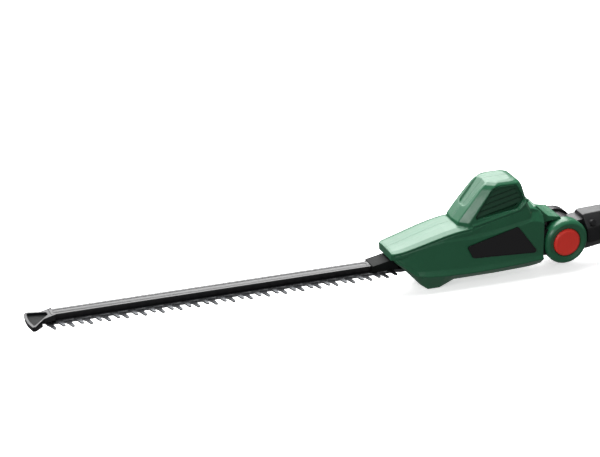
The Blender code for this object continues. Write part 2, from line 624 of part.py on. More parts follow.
def make_adaptor(pole):
    """The knuckle between the ears, and the faceted barrel that grips the inner tube."""
    adaptor = rod("pole_adaptor", KNUCKLE_R, (0.0, -KNUCKLE_HALF, 0.0), (0.0, KNUCKLE_HALF, 0.0), BLACK, pole,
                  sides=48)
    neck = box("adaptor_neck", (4.0, -KNUCKLE_HALF + 0.2, -21.0), (BARREL_START + 4.0, KNUCKLE_HALF - 0.2, 21.0),
               None, pole)
    rings = []
    for x, flat in ((BARREL_START, 22.0), (BARREL_START + 3.0, 24.2), (62.0, 22.8), (92.0, 21.0), (98.0, 19.0),
                    (BARREL_END - 2.0, 18.4), (BARREL_END, 17.2)):
        across = flat / math.cos(math.pi / 8)
        rings.append([(x, across * math.cos(math.pi / 8 * (2 * i + 1)), across * math.sin(math.pi / 8 * (2 * i + 1)))
                      for i in range(8)])
    barrel = loft("adaptor_barrel", rings, None, pole)
    tube_seat = rod("adaptor_tube_seat", INNER_TUBE[2] + CLEAR, (INNER_TUBE[0] - 1.0, 0.0, 0.0), (130.0, 0.0, 0.0),
                    None, pole, sides=40)
    pin_hole = rod("adaptor_pin_hole", PIN_R + CLEAR, (0.0, -40.0, 0.0), (0.0, 40.0, 0.0), None, pole, sides=32)
    fuse(adaptor, neck, barrel)
    cut(adaptor, tube_seat, pin_hole)


# ---------------------------------------------------------------- pole

def tube(name, span, paint, pole):
    start, end, outer, inner = span
    turned(name, [(inner, end), (outer, end), (outer, start), (inner, start)], paint, pole, along="X", ring=True,
           sides=40)


def make_pole(pole):
    tube("inner_tube", INNER_TUBE, ALUMINIUM_BLACK, pole)
    tube("outer_tube", OUTER_TUBE, ALUMINIUM_BLACK, pole)
    front = OUTER_TUBE[0]
    inner, outer = INNER_TUBE[2], OUTER_TUBE[2]
    tube("slide_bush", (front + 2.0, front + 32.0, OUTER_TUBE[3] - CLEAR, inner + CLEAR), BLACK, pole)
    turned("tube_clamp", [(outer + CLEAR, front + 42.0), (20.5, front + 42.0), (22.5, front + 38.0), (22.5, front + 0.5),
                          (19.0, front + 0.5), (19.0, front - 22.0), (inner + 0.6, front - 22.0),
                          (inner + 0.6, front - 0.4), (outer + CLEAR, front - 0.4)],
           BLACK, pole, along="X", ring=True, sides=30)
    collar = turned("lock_collar", [(19.4, COLLAR_SPAN[1]), (23.5, COLLAR_SPAN[1]), (25.0, COLLAR_SPAN[1] - 2.0),
                                    (25.0, COLLAR_SPAN[0] + 9.0), (19.0, COLLAR_SPAN[0]), (inner + 0.6, COLLAR_SPAN[0]),
                                    (inner + 0.6, COLLAR_SPAN[0] + 22.0), (19.4, COLLAR_SPAN[0] + 27.0)],
                    RED, pole, along="X", ring=True, sides=30)
    for number in range(6):
        angle = math.radians(60.0 * number + 30.0)
        y, z = 27.6 * math.cos(angle), 27.6 * math.sin(angle)
        flute = rod(f"collar_flute_{number + 1}", 5.0, (COLLAR_SPAN[0] + 12.0, y, z), (COLLAR_SPAN[1] + 5.0, y, z),
                    None, pole, sides=12)
        cut(collar, flute)
    low, high = GRIP_SPAN
    ribs = [(outer + CLEAR, high), (21.5, high), (22.5, high - 1.5), (22.5, high - 9.0), (20.5, high - 11.0)]
    count = 5
    for i in range(count):
        at = high - 14.0 - i * (high - low - 30.0) / count
        ribs += [(20.5, at), (21.4, at - 2.0), (21.4, at - 28.0), (20.5, at - 30.0)]
    ribs += [(20.5, low + 11.0), (22.5, low + 9.0), (22.5, low + 1.5), (21.5, low), (outer + CLEAR, low)]
    turned("front_grip", ribs, RUBBER, pole, along="X", ring=True, sides=24)
    make_strap_clamp(pole)


def make_strap_clamp(pole):
    low, high = STRAP_SPAN
    clamp = turned("strap_clamp", [(OUTER_TUBE[2] + CLEAR, high), (20.5, high), (21.5, high - 1.0), (21.5, low + 1.0),
                                   (20.5, low), (OUTER_TUBE[2] + CLEAR, low)], BLACK, pole, along="X", ring=True,
                   sides=40)
    middle = (low + high) / 2
    ear = plate("strap_clamp_eye", [rounded([(low + 1.0, 18.5), (high - 1.0, 18.5), (high - 6.0, 42.0),
                                             (low + 6.0, 42.0)], [0.0, 0.0, 7.0, 7.0]),
                                    circle(middle, 32.5, 4.6, 20)], -3.5, 3.5, None, pole, normal="Y")
    fuse(clamp, ear)


# ---------------------------------------------------------------- rear handle

def make_handle(pole):
    """A closed loop handle in two halves. Pockets on the middle plane hold the switch, terminals and tube."""
    end, outer = OUTER_TUBE[1], OUTER_TUBE[2]
    for side, word in ((-1.0, "left"), (1.0, "right")):
        low, high = sorted((SPLIT_GAP * side, HANDLE_HALF * side))
        half = plate(f"handle_{word}", [rounded(HANDLE_OUTER, list(HANDLE_RADII)), rounded(FINGER_GAP, list(GAP_RADII))],
                     low, high, BLACK, pole, normal="Y")
        front = rod(f"handle_nose_{word}", 21.4, (1085.2, 0.0, 0.0), (1150.0, 0.0, 0.0), None, pole, sides=40,
                    end_radius=23.5)
        trim = box(f"handle_nose_trim_{word}", (1080.0, min(SPLIT_GAP * side, -40.0 * side), -50.0),
                   (1160.0, max(SPLIT_GAP * side, -40.0 * side), 50.0), None, pole)
        cut(front, trim)
        tube_seat = rod(f"handle_tube_seat_{word}", outer + CLEAR, (1060.0, 0.0, 0.0), (end + 1.0, 0.0, 0.0), None,
                        pole, sides=40)
        trigger_slot = box(f"trigger_slot_{word}", (1195.0, -8.6, -24.0), (1256.0, 8.6, -1.5), None, pole)
        switch_pocket = box(f"switch_pocket_{word}", (1206.0, -11.0, -1.6), (1240.0, 11.0, 9.6), None, pole)
        lock_slot = box(f"lock_slot_{word}", (1212.0, -6.3, 9.0), (1240.0, 6.3, 24.0), None, pole)
        wire_way = box(f"wire_way_{word}", (1130.0, -5.0, -9.0), (1208.0, 5.0, 3.0), None, pole)
        rear_pocket = box(f"rear_pocket_{word}", (1372.0, -11.0, -84.0), (1398.0, 11.0, -4.0), None, pole)
        fuse(half, front)
        cut(half, tube_seat, trigger_slot, switch_pocket, lock_slot, wire_way, rear_pocket)
        if side > 0:
            for number, (x, z) in enumerate(HANDLE_SCREWS, 1):
                cut(half, rod(f"handle_screw_hole_{number}", 3.6, (x, 3.0, z), (x, 30.0, z), None, pole, sides=16))
    for number, (x, z) in enumerate(HANDLE_SCREWS, 1):
        turned(f"handle_screw_{number}", [(0.0, 2.4), (3.2, 2.0), (3.2, 0.0), (1.6, -0.01), (1.6, -9.0), (0.0, -10.0)],
               STEEL, pole, along="Y", centre=(x, 14.4, z), sides=12)


def make_controls(pole):
    """Trigger, lock-off button, switch, terminals and the soft pad on top of the grip."""
    x, z = TRIGGER_PIVOT
    outline = rounded([(1198.5, -8.5), (1250.0, -13.0), (1253.0, -17.0), (1244.0, -27.0), (1228.0, -31.5),
                       (1212.0, -28.0), (1199.0, -17.0)], [3.0, 1.5, 2.0, 6.0, 14.0, 6.0, 3.0])
    trigger = plate("trigger", [outline, circle(x, z, 1.9, 16)], -8.0, 8.0, RED, pole, normal="Y")
    set_origin(trigger, (x, 0.0, z))
    rod("trigger_pin", 1.6, (x, -8.3, z), (x, 8.3, z), STEEL, pole, sides=16)
    lock = plate("lock_off_button", [rounded([(1223.0, 9.8), (1239.0, 9.8), (1239.0, 20.0), (1234.0, 23.0),
                                              (1227.0, 22.0), (1223.0, 20.0)], 1.2, 2)], -6.0, 6.0, RED, pole,
                 normal="Y")
    soften(lock, 0.8, 2)
    box("switch_module", (1206.4, -10.6, -1.2), (1239.6, 10.6, 9.2), BLACK, pole, bevel=0.8)
    box("terminal_block", (1373.0, -10.4, -83.0), (1397.4, 10.4, -62.0), COPPER, pole, bevel=0.8)
    pad = plate("grip_pad", [rounded([(1250.0, 17.6), (1358.0, 21.3), (1352.0, 25.3), (1256.0, 21.4)],
                                     [0.5, 0.5, 3.0, 3.0], 3)], -13.0, 13.0, RUBBER, pole, normal="Y")
    soften(pad, 1.6, 2)


def make_battery(level):
    """The pack hangs on a shoe under the handle and slides off to the rear. Its top face has two rails."""
    half_x, half_y = BATTERY_HALF
    shoe = box("battery_shoe", (-half_x + 4.0, -27.0, SHOE_Z[0]), (half_x - 4.0, 27.0, SHOE_Z[1]), BLACK, level,
               bevel=1.0)
    notch = box("battery_shoe_latch_notch", (-half_x - 1.0, -11.0, SHOE_Z[0] - 1.0),
                (-half_x + 14.0, 11.0, SHOE_Z[0] + 3.0), None, level)
    cut(shoe, notch)
    base = box("battery_base", (-half_x, -half_y, 0.0), (half_x, half_y, 30.0), BLACK, level)
    soften(base, 5.0, 3, 60.0)
    cover = box("battery_cover", (-half_x, -half_y, 30.3), (half_x, half_y, BATTERY_TOP_Z), BLACK, level)
    soften(cover, 4.0, 3, 60.0)
    well = box("battery_button_well", (-half_x - 5.0, -12.0, 33.0), (-half_x + 9.0, 12.0, 60.0), None, level)
    cut(cover, well)
    button = box("battery_release_button", (-half_x + 0.2, -11.6, 36.5), (-half_x + 8.6, 11.6, 50.9), RED, level)
    soften(button, 1.5, 2)


# ---------------------------------------------------------------- assembly

clear_scene()
PARTS = collection("pole_hedge_trimmer")
CUTTERS = collection("cutters")

GREEN = look("green_plastic", (0.05, 0.19, 0.10), 0.42)
BLACK = look("black_plastic", (0.02, 0.02, 0.022), 0.5)
GLOSS_BLACK = look("gloss_black", (0.01, 0.01, 0.012), 0.15)
RED = look("red_plastic", (0.62, 0.025, 0.02), 0.35)
RUBBER = look("rubber", (0.025, 0.025, 0.025), 0.8)
STEEL = look("steel", (0.6, 0.6, 0.62), 0.3, 1.0)
STEEL_DARK = look("dark_steel", (0.12, 0.12, 0.13), 0.4, 1.0)
BAR_METAL = look("bar_metal", (0.35, 0.36, 0.38), 0.4, 1.0)
ALUMINIUM = look("aluminium", (0.75, 0.75, 0.77), 0.35, 1.0)
ALUMINIUM_BLACK = look("black_anodised", (0.03, 0.03, 0.033), 0.35, 0.6)
COPPER = look("copper", (0.8, 0.4, 0.2), 0.35, 1.0)

TOOL = frame("tool_frame", location=(PIVOT_X, 0.0, PIVOT_Z))
HEAD = frame("head_frame", TOOL)
POLE = frame("pole_frame", TOOL, turn_y=-POLE_RISE)
RISE = math.radians(POLE_RISE)
LEVEL = frame("battery_frame", location=(PIVOT_X + BATTERY_S * math.cos(RISE), 0.0, 0.0))

make_blades(HEAD)
make_guide_bar(HEAD)
make_tip_guard(HEAD)
make_root_guard(HEAD)
make_housing(HEAD)
make_housing_screws(HEAD)
make_side_details(HEAD)
make_drive(HEAD)
make_gear_case(HEAD)
make_fork(HEAD)
make_adaptor(POLE)
make_pole(POLE)
make_handle(POLE)
make_controls(POLE)
make_battery(LEVEL)
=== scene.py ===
import json
import math

import bmesh
import bpy
from mathutils import Matrix, Vector
from mathutils.geometry import tessellate_polygon


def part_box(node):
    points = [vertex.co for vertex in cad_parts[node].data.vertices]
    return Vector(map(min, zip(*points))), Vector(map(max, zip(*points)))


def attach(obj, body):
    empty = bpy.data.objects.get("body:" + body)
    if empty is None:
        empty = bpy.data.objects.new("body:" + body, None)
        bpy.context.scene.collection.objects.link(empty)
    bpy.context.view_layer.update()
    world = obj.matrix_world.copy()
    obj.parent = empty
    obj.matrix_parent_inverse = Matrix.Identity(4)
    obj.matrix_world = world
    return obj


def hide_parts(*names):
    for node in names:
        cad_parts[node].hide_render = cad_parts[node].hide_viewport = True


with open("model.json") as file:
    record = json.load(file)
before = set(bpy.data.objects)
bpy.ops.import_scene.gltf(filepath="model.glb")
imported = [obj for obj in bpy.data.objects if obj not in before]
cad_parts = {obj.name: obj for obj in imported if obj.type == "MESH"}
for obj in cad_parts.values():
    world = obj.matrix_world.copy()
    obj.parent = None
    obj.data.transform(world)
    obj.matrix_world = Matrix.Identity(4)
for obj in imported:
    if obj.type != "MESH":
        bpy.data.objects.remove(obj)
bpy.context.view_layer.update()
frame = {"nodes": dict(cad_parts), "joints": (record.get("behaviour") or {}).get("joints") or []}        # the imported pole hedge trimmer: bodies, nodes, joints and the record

# Shapes are drawn in millimetres in one of three frames, as the tool is designed: HEAD has its origin on the
# tilt axis and the blade along -X, POLE has the same origin and X up the pole, PACK is level under the battery.
MM = 0.001
JOINTS = {joint["name"]: joint for joint in frame["joints"]}
TILT = Vector(JOINTS["head_tilt"]["pos_m"])
POLE_AXIS = -Vector(JOINTS["pole_extension"]["axis"])
HEAD = Matrix.Translation(TILT) @ Matrix.Scale(MM, 4)
POLE_TURN = Matrix.Rotation(-math.atan2(POLE_AXIS.z, POLE_AXIS.x), 4, "Y")
POLE = Matrix.Translation(TILT) @ POLE_TURN @ Matrix.Scale(MM, 4)
PACK_LOW, PACK_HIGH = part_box("battery_base")
PACK = Matrix.Translation(((PACK_LOW.x + PACK_HIGH.x) / 2, 0.0, 0.0)) @ Matrix.Scale(MM, 4)

# Voxel sizes of the moulded shells of the head and the handle.
MOULD_GRAIN = 0.65
HANDLE_GRAIN = 1.1


# ---------------------------------------------------------------- mesh tools

def facing_out(bm):
    bmesh.ops.recalc_face_normals(bm, faces=bm.faces)
    if bm.calc_volume(signed=True) < 0.0:
        bmesh.ops.reverse_faces(bm, faces=bm.faces)
    return bm


def draft(bm):
    """A temporary object in millimetres that carries modifiers."""
    facing_out(bm)
    mesh = bpy.data.meshes.new("draft")
    bm.to_mesh(mesh)
    bm.free()
    obj = bpy.data.objects.new("draft", mesh)
    bpy.context.scene.collection.objects.link(obj)
    return obj


def settle(obj):
    """The draft's shape with its modifiers applied. The draft itself goes."""
    graph = bpy.context.evaluated_depsgraph_get()
    mesh = bpy.data.meshes.new_from_object(obj.evaluated_get(graph))
    bm = bmesh.new()
    bm.from_mesh(mesh)
    bpy.data.meshes.remove(mesh)
    bpy.data.objects.remove(obj)
    return bm


def combined(bm, others, operation):
    obj = draft(bm)
    tools = [draft(other) for other in others]
    for tool in tools:
        step = obj.modifiers.new("Combine", "BOOLEAN")
        step.operation = operation
        step.object = tool
        step.solver = "MANIFOLD"
    result = settle(obj)
    for tool in tools:
        bpy.data.objects.remove(tool)
    return result


def fuse(bm, *others):
    return combined(bm, others, "UNION")


def cut(bm, *others):
    return combined(bm, others, "DIFFERENCE")


def bevelled(bm, width, segments=3, angle=30.0):
    obj = draft(bm)
    step = obj.modifiers.new("Bevel", "BEVEL")
    step.width = width
    step.segments = segments
    step.limit_method = "ANGLE"
    step.angle_limit = math.radians(angle)
    return settle(obj)


def moulded(bm, grain, passes=4):
    """The shape as a fine even skin, whose edges and inner corners are a little round like a moulding's."""
    obj = draft(bm)
    step = obj.modifiers.new("Grain", "REMESH")
    step.mode = "VOXEL"
    step.voxel_size = grain
    even = obj.modifiers.new("Even", "SMOOTH")
    even.factor = 0.5
    even.iterations = passes
    return settle(obj)


def moved(bm, matrix):
    bmesh.ops.transform(bm, matrix=matrix, verts=bm.verts)
    return bm


def piece(name, bm, place, paint, body, slot, *nodes, sharp=32.0):
    """A finished piece in its frame, on its body, standing for the CAD nodes it replaces."""
    bmesh.ops.transform(bm, matrix=place, verts=bm.verts)
    facing_out(bm)
    mesh = bpy.data.meshes.new(name)
    bm.to_mesh(mesh)
    bm.free()
    mesh.materials.append(paint)
    mesh.shade_smooth()
    mesh.set_sharp_from_angle(angle=math.radians(sharp))
    obj = bpy.data.objects.new(name, mesh)
    bpy.context.scene.collection.objects.link(obj)
    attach(obj, body)
    if nodes:
        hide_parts(*nodes)
    return obj


def box(low, high):
    low, high = Vector(low), Vector(high)
    bm = bmesh.new()
    bmesh.ops.create_cube(bm, size=1.0)
    bmesh.ops.scale(bm, vec=high - low, verts=bm.verts)
    return moved(bm, Matrix.Translation((high + low) / 2))


def side_box(side, x, y, z):
    """A box given by its ranges, with y counted outward on one side of the middle plane."""
    low, high = sorted((y[0] * side, y[1] * side))
    return box((x[0], low, z[0]), (x[1], high, z[1]))


def other_half(side, x, z):
    """All that lies beyond the split plane, as seen from the half on one side."""
    return side_box(-side, x, (-SPLIT_GAP, 60.0), z)


def on_side(bm, side):
    """A piece drawn on the +Y side, mirrored where it belongs on the other."""
    return moved(bm, Matrix.Scale(-1.0, 4, (0.0, 1.0, 0.0))) if side < 0 else bm


def skin(bm, rings, closed=False, capped=True):
    """Faces between rings of points. A ring of one point is a pole."""
    made = [[bm.verts.new(point) for point in ring] for ring in rings]
    pairs = list(zip(made, made[1:]))
    if closed:
        pairs.append((made[-1], made[0]))
    for first, second in pairs:
        count = max(len(first), len(second))
        for i in range(count):
            corners = [first[i % len(first)], first[(i + 1) % len(first)], second[(i + 1) % len(second)],
                       second[i % len(second)]]
            bm.faces.new(list(dict.fromkeys(corners)))
    if capped and not closed:
        for ring in (made[0], made[-1]):
            if len(ring) > 2:
                bm.faces.new(ring)
    return bm


def loft(sections):
    return skin(bmesh.new(), sections)


TURNS = {"Z": Matrix.Identity(4), "X": Matrix.Rotation(math.pi / 2, 4, "Y"),
         "Y": Matrix.Rotation(-math.pi / 2, 4, "X"), "-Y": Matrix.Rotation(math.pi / 2, 4, "X")}


def lathe(profile, along="Z", centre=(0.0, 0.0, 0.0), sides=96, ring=False):
    """A profile of (radius, height) spun about an axis. A ring's profile closes on itself."""
    rings = []
    for radius, height in profile:
        if radius < 1e-6:
            rings.append([(0.0, 0.0, height)])
            continue
        angles = [2 * math.pi * i / sides for i in range(sides)]
        rings.append([(radius * math.cos(a), radius * math.sin(a), height) for a in angles])
    bm = skin(bmesh.new(), rings, closed=ring)
    return moved(bm, Matrix.Translation(centre) @ TURNS[along])


def rod(radius, start, end, sides=48, end_radius=None):
    start, run = Vector(start), Vector(end) - Vector(start)
    bm = lathe([(0.0, 0.0), (radius, 0.0), (radius if end_radius is None else end_radius, run.length),
                (0.0, run.length)], sides=sides)
    return moved(bm, Matrix.Translation(start) @ run.to_track_quat("Z", "Y").to_matrix().to_4x4())


def prism(outlines, low, high, normal="Z"):
    """Flat outlines, the first outside and the rest holes, as a solid from low to high along a normal."""
    low, high = sorted((low, high))
    loops = [[Vector((a, b, 0.0)) for a, b in outline] for outline in outlines]
    flat = [point for loop in loops for point in loop]
    bm = bmesh.new()
    under = [bm.verts.new((point.x, point.y, low)) for point in flat]
    over = [bm.verts.new((point.x, point.y, high)) for point in flat]
    for corners in tessellate_polygon(loops):
        bm.faces.new([under[i] for i in corners])
        bm.faces.new([over[i] for i in corners])
    start = 0
    for loop in loops:
        for i in range(len(loop)):
            a, b = start + i, start + (i + 1) % len(loop)
            bm.faces.new((under[a], under[b], over[b], over[a]))
        start += len(loop)
    if normal == "Y":
        return moved(bm, Matrix(((1, 0, 0, 0), (0, 0, 1, 0), (0, 1, 0, 0), (0, 0, 0, 1))))
    return bm


def rail(points, radius, sides=10, closed=False):
    """A round bar along a line of points."""
    points = [Vector(point) for point in points]
    rings, side = [], None
    for i, point in enumerate(points):
        after = points[(i + 1) % len(points)] if closed else points[min(i + 1, len(points) - 1)]
        before = points[i - 1] if closed else points[max(i - 1, 0)]
        run = (after - before).normalized()
        if side is None:
            side = run.orthogonal().normalized()
        side = (side - run * side.dot(run)).normalized()
        other = run.cross(side)
        angles = [2 * math.pi * k / sides for k in range(sides)]
        rings.append([point + (side * math.cos(a) + other * math.sin(a)) * radius for a in angles])
    return skin(bmesh.new(), rings, closed=closed)


def rounded(points, radius, steps=5):
    """The outline with each corner turned into an arc. Radius is one number, or one for each corner."""
    radii = radius if isinstance(radius, (list, tuple)) else [radius] * len(points)
    result = []
    for i, corner in enumerate(points):
        here = Vector(corner)
        before = (Vector(points[i - 1]) - here).normalized()
        after = (Vector(points[(i + 1) % len(points)]) - here).normalized()
        half = before.angle(after) / 2
        if radii[i] <= 0.0:
            result.append(tuple(here))
            continue
        if half > math.radians(89.5):
            for k in range(steps + 1):
                result.append(tuple(here + (before if 2 * k < steps else after) * abs(0.5 - k / steps)))
            continue
        centre = here + (before + after).normalized() * (radii[i] / math.sin(half))
        reach = radii[i] / math.tan(half)
        first, last = here + before * reach - centre, here + after * reach - centre
        for k in range(steps + 1):
            result.append(tuple(centre + first.lerp(last, k / steps).normalized() * radii[i]))
    return result


def circle(x, y, radius, sides=48):
    turns = [2 * math.pi * i / sides for i in range(sides)]
    return [(x + radius * math.cos(a), y + radius * math.sin(a)) for a in turns]


def slot(x_low, x_high, half, steps=8):
    """A slot with round ends along X, as an outline."""
    ends = []
    for centre, start in ((x_high, -90.0), (x_low, 90.0)):
        for k in range(steps + 1):
            angle = math.radians(start + 180.0 * k / steps)
            ends.append((centre + half * math.cos(angle), half * math.sin(angle)))
    return ends


def shrunk(outline, gap):
    """The outline with its corners moved towards its middle by about a gap."""
    middle = sum((Vector(point) for point in outline), Vector((0.0, 0.0))) / len(outline)
    return [tuple(Vector(p) + (middle - Vector(p)).normalized() * gap * 1.4) for p in outline]


def between(table, x):
    """A row of a table whose first column is x, read between its rows."""
    if x <= table[0][0]:
        return table[0][1:]
    for first, second in zip(table, table[1:]):
        if x <= second[0]:
            share = (x - first[0]) / (second[0] - first[0])
            return tuple(a + (b - a) * share for a, b in zip(first[1:], second[1:]))
    return table[-1][1:]


# ---------------------------------------------------------------- materials

class Paint:
    """A procedural material on one Principled shader. Its patterns lie in the object's own space, in metres."""

    def __init__(self, name, roughness, metallic=0.0, specular=0.5, coat=0.0, coat_roughness=0.1, sheen=0.0):
        self.material = bpy.data.materials.new(name)
        self.material.use_nodes = True
        self.tree = self.material.node_tree
        self.shader = self.tree.nodes["Principled BSDF"]
        self.space = self.tree.nodes.new("ShaderNodeTexCoord").outputs["Object"]
        for socket, value in (("Roughness", roughness), ("Metallic", metallic),
                              ("Specular IOR Level", specular), ("Coat Weight", coat),
                              ("Coat Roughness", coat_roughness), ("Sheen Weight", sheen)):
            self.shader.inputs[socket].default_value = value
        self.height = None

    def node(self, kind, inputs=(), **settings):
        made = self.tree.nodes.new(kind)
        for key, value in settings.items():
            setattr(made, key, value)
        for key, value in inputs:
            if isinstance(value, bpy.types.NodeSocket):
                self.tree.links.new(value, made.inputs[key])
            else:
                made.inputs[key].default_value = value
        return made

    def stretched(self, scale):
        return self.node("ShaderNodeMapping", (("Vector", self.space), ("Scale", scale))).outputs["Vector"]

    def noise(self, scale, detail=3.0, roughness=0.5, space=None):
        made = self.node("ShaderNodeTexNoise", (("Vector", space or self.space), ("Scale", scale),
                                                ("Detail", detail), ("Roughness", roughness)))
        return made.outputs["Fac"]

    def cells(self, scale):
        return self.node("ShaderNodeTexVoronoi", (("Vector", self.space),
                                                  ("Scale", scale))).outputs["Distance"]

    def ramp(self, value, *stops):
        made = self.node("ShaderNodeValToRGB", (("Fac", value),))
        while len(made.color_ramp.elements) < len(stops):
            made.color_ramp.elements.new(0.5)
        for element, (place, colour) in zip(made.color_ramp.elements, stops):
            element.position = place
            element.color = (*colour, 1.0) if isinstance(colour, tuple) else (colour, colour, colour, 1.0)
        return made.outputs["Color"]

    def mix(self, share, first, second):
        made = self.tree.nodes.new("ShaderNodeMix")
        made.data_type = "RGBA"
        for key, value in ((0, share), (6, first), (7, second)):
            if isinstance(value, bpy.types.NodeSocket):
                self.tree.links.new(value, made.inputs[key])
            elif key == 0:
                made.inputs[key].default_value = value
            else:
                made.inputs[key].default_value = (*value, 1.0)
        return made.outputs[2]

    def remap(self, value, low, high):
        made = self.node("ShaderNodeMapRange", (("Value", value), ("To Min", low), ("To Max", high)))
        return made.outputs["Result"]

    def bump(self, value, distance, strength=0.6):
        inputs = [("Height", value), ("Distance", distance), ("Strength", strength)]
        if self.height is not None:
            inputs.append(("Normal", self.height))
        self.height = self.node("ShaderNodeBump", inputs).outputs["Normal"]
        self.tree.links.new(self.height, self.shader.inputs["Normal"])

    def colour(self, value):
        self.tree.links.new(value, self.shader.inputs["Base Color"])

    def rough(self, value):
        self.tree.links.new(value, self.shader.inputs["Roughness"])


def shaded(colour, share):
    return tuple(min(1.0, channel * share) for channel in colour)


def plastic(name, colour, roughness, specular=0.5, grain=0.00003, coat=0.0, dust=0.03, grain_scale=2600.0):
    """Moulded plastic: spark-eroded grain, slightly uneven colour, fine dust and hairline scuffs."""
    paint = Paint(name, roughness, specular=specular, coat=coat, coat_roughness=0.18)
    uneven = paint.noise(22.0, 4.0)
    flow = paint.noise(160.0, 3.0)
    tone = paint.mix(uneven, shaded(colour, 0.84), shaded(colour, 1.16))
    dusty = paint.ramp(paint.noise(420.0, 6.0, 0.65), (0.60, 0.0), (0.78, dust * 6.0))
    tone = paint.mix(dusty, tone, tuple(channel * 0.7 + 0.10 for channel in colour))
    scuffs = paint.ramp(paint.noise(60.0, 6.0, 0.7, paint.stretched((1.0, 9.0, 5.0))), (0.66, 0.0),
                        (0.74, 0.35))
    tone = paint.mix(scuffs, tone, tuple(channel * 0.9 + 0.018 for channel in colour))
    paint.colour(tone)
    paint.rough(paint.remap(flow, roughness - 0.07, roughness + 0.09))
    paint.bump(paint.cells(grain_scale), grain, 0.5)
    paint.bump(uneven, 0.0004, 0.10)
    return paint.material


def rubber(name, colour):
    paint = Paint(name, 0.7, specular=0.35, sheen=0.25)
    uneven = paint.noise(35.0, 5.0, 0.6)
    tone = paint.mix(uneven, shaded(colour, 0.75), shaded(colour, 1.35))
    dusty = paint.ramp(paint.noise(250.0, 6.0, 0.7), (0.58, 0.0), (0.8, 0.4))
    paint.colour(paint.mix(dusty, tone, tuple(channel + 0.05 for channel in colour)))
    paint.rough(paint.remap(uneven, 0.6, 0.82))
    paint.bump(paint.noise(3200.0, 2.0), 0.00005, 0.7)
    return paint.material


def metal(name, dark, light, roughness, along=(6.0, 700.0, 700.0), streak=0.00002, tarnish=0.25):
    """Ground or drawn metal: fine lines along one direction, blotches of oil and wear."""
    paint = Paint(name, roughness, metallic=1.0)
    lines = paint.noise(1.0, 5.0, 0.65, paint.stretched(along))
    blotches = paint.noise(28.0, 6.0, 0.6)
    tone = paint.mix(lines, dark, light)
    stain = paint.ramp(blotches, (0.45, 0.0), (0.7, tarnish))
    paint.colour(paint.mix(stain, tone, shaded(dark, 0.6)))
    paint.rough(paint.remap(lines, roughness - 0.08, roughness + 0.12))
    paint.bump(lines, streak, 0.6)
    return paint.material


def coated_metal(name, colour, roughness, specular=0.5):
    """Black coated metal: satin film with rubbed streaks along the part and tiny nicks."""
    paint = Paint(name, roughness, specular=specular)
    rubbed = paint.noise(1.0, 5.0, 0.6, paint.stretched((14.0, 160.0, 160.0)))
    nicks = paint.ramp(paint.noise(380.0, 6.0, 0.7), (0.68, 0.0), (0.76, 0.6))
    tone = paint.mix(rubbed, shaded(colour, 0.7), shaded(colour, 1.5))
    paint.colour(paint.mix(nicks, tone, tuple(channel + 0.03 for channel in colour)))
    paint.rough(paint.remap(rubbed, roughness - 0.08, roughness + 0.10))
    paint.bump(rubbed, 0.00003, 0.5)
    paint.bump(paint.noise(1500.0, 2.0), 0.00002, 0.5)
    return paint.material


def copper_windings(name):
    paint = Paint(name, 0.35, metallic=1.0)
    wires = paint.noise(1.0, 3.0, 0.5, paint.stretched((900.0, 900.0, 60.0)))
    paint.colour(paint.mix(wires, (0.45, 0.16, 0.07), (0.85, 0.42, 0.20)))
    paint.rough(paint.remap(wires, 0.25, 0.5))
    paint.bump(wires, 0.0002, 0.8)
    return paint.material


GREEN = plastic("green_plastic", (0.016, 0.118, 0.054), 0.32, specular=0.42, coat=0.10)
DARK_GREEN = plastic("vent_green", (0.007, 0.052, 0.024), 0.42, specular=0.3)
BLACK = plastic("black_plastic", (0.009, 0.009, 0.010), 0.38, specular=0.33)
GUARD_BLACK = plastic("guard_black", (0.006, 0.007, 0.008), 0.33, specular=0.36)
HANDLE_BLACK = plastic("handle_black", (0.022, 0.022, 0.024), 0.5, specular=0.4, grain=0.00005)
# root_black is also painted shade: the tip shoe's sunk field takes it, duller and darker than guard_black.
ROOT_BLACK = plastic("root_black", (0.005, 0.006, 0.006), 0.62, specular=0.12)
GLOSS_BLACK = plastic("gloss_black", (0.006, 0.006, 0.007), 0.16, specular=0.4, coat=0.3, grain=0.000004,
                      dust=0.01)
RED = plastic("red_plastic", (0.86, 0.045, 0.030), 0.36, specular=0.4, dust=0.015)
RUBBER = rubber("rubber_grip", (0.020, 0.020, 0.021))
BLADE = metal("blade_steel", (0.035, 0.037, 0.040), (0.16, 0.165, 0.175), 0.36)
EDGE = metal("ground_edge", (0.22, 0.225, 0.235), (0.55, 0.56, 0.58), 0.28, along=(260.0, 260.0, 40.0),
             tarnish=0.2)
BAR_BLACK = coated_metal("bar_black", (0.004, 0.004, 0.005), 0.30, specular=0.42)
STEEL = metal("steel", (0.34, 0.34, 0.35), (0.66, 0.66, 0.68), 0.3, along=(500.0, 500.0, 90.0))
ALUMINIUM = metal("cast_aluminium", (0.52, 0.52, 0.54), (0.78, 0.78, 0.80), 0.45, along=(300.0, 300.0, 300.0))
TUBE_BLACK = coated_metal("tube_black", (0.010, 0.010, 0.012), 0.34, specular=0.5)
COPPER = copper_windings("copper_windings")


# ---------------------------------------------------------------- head housing

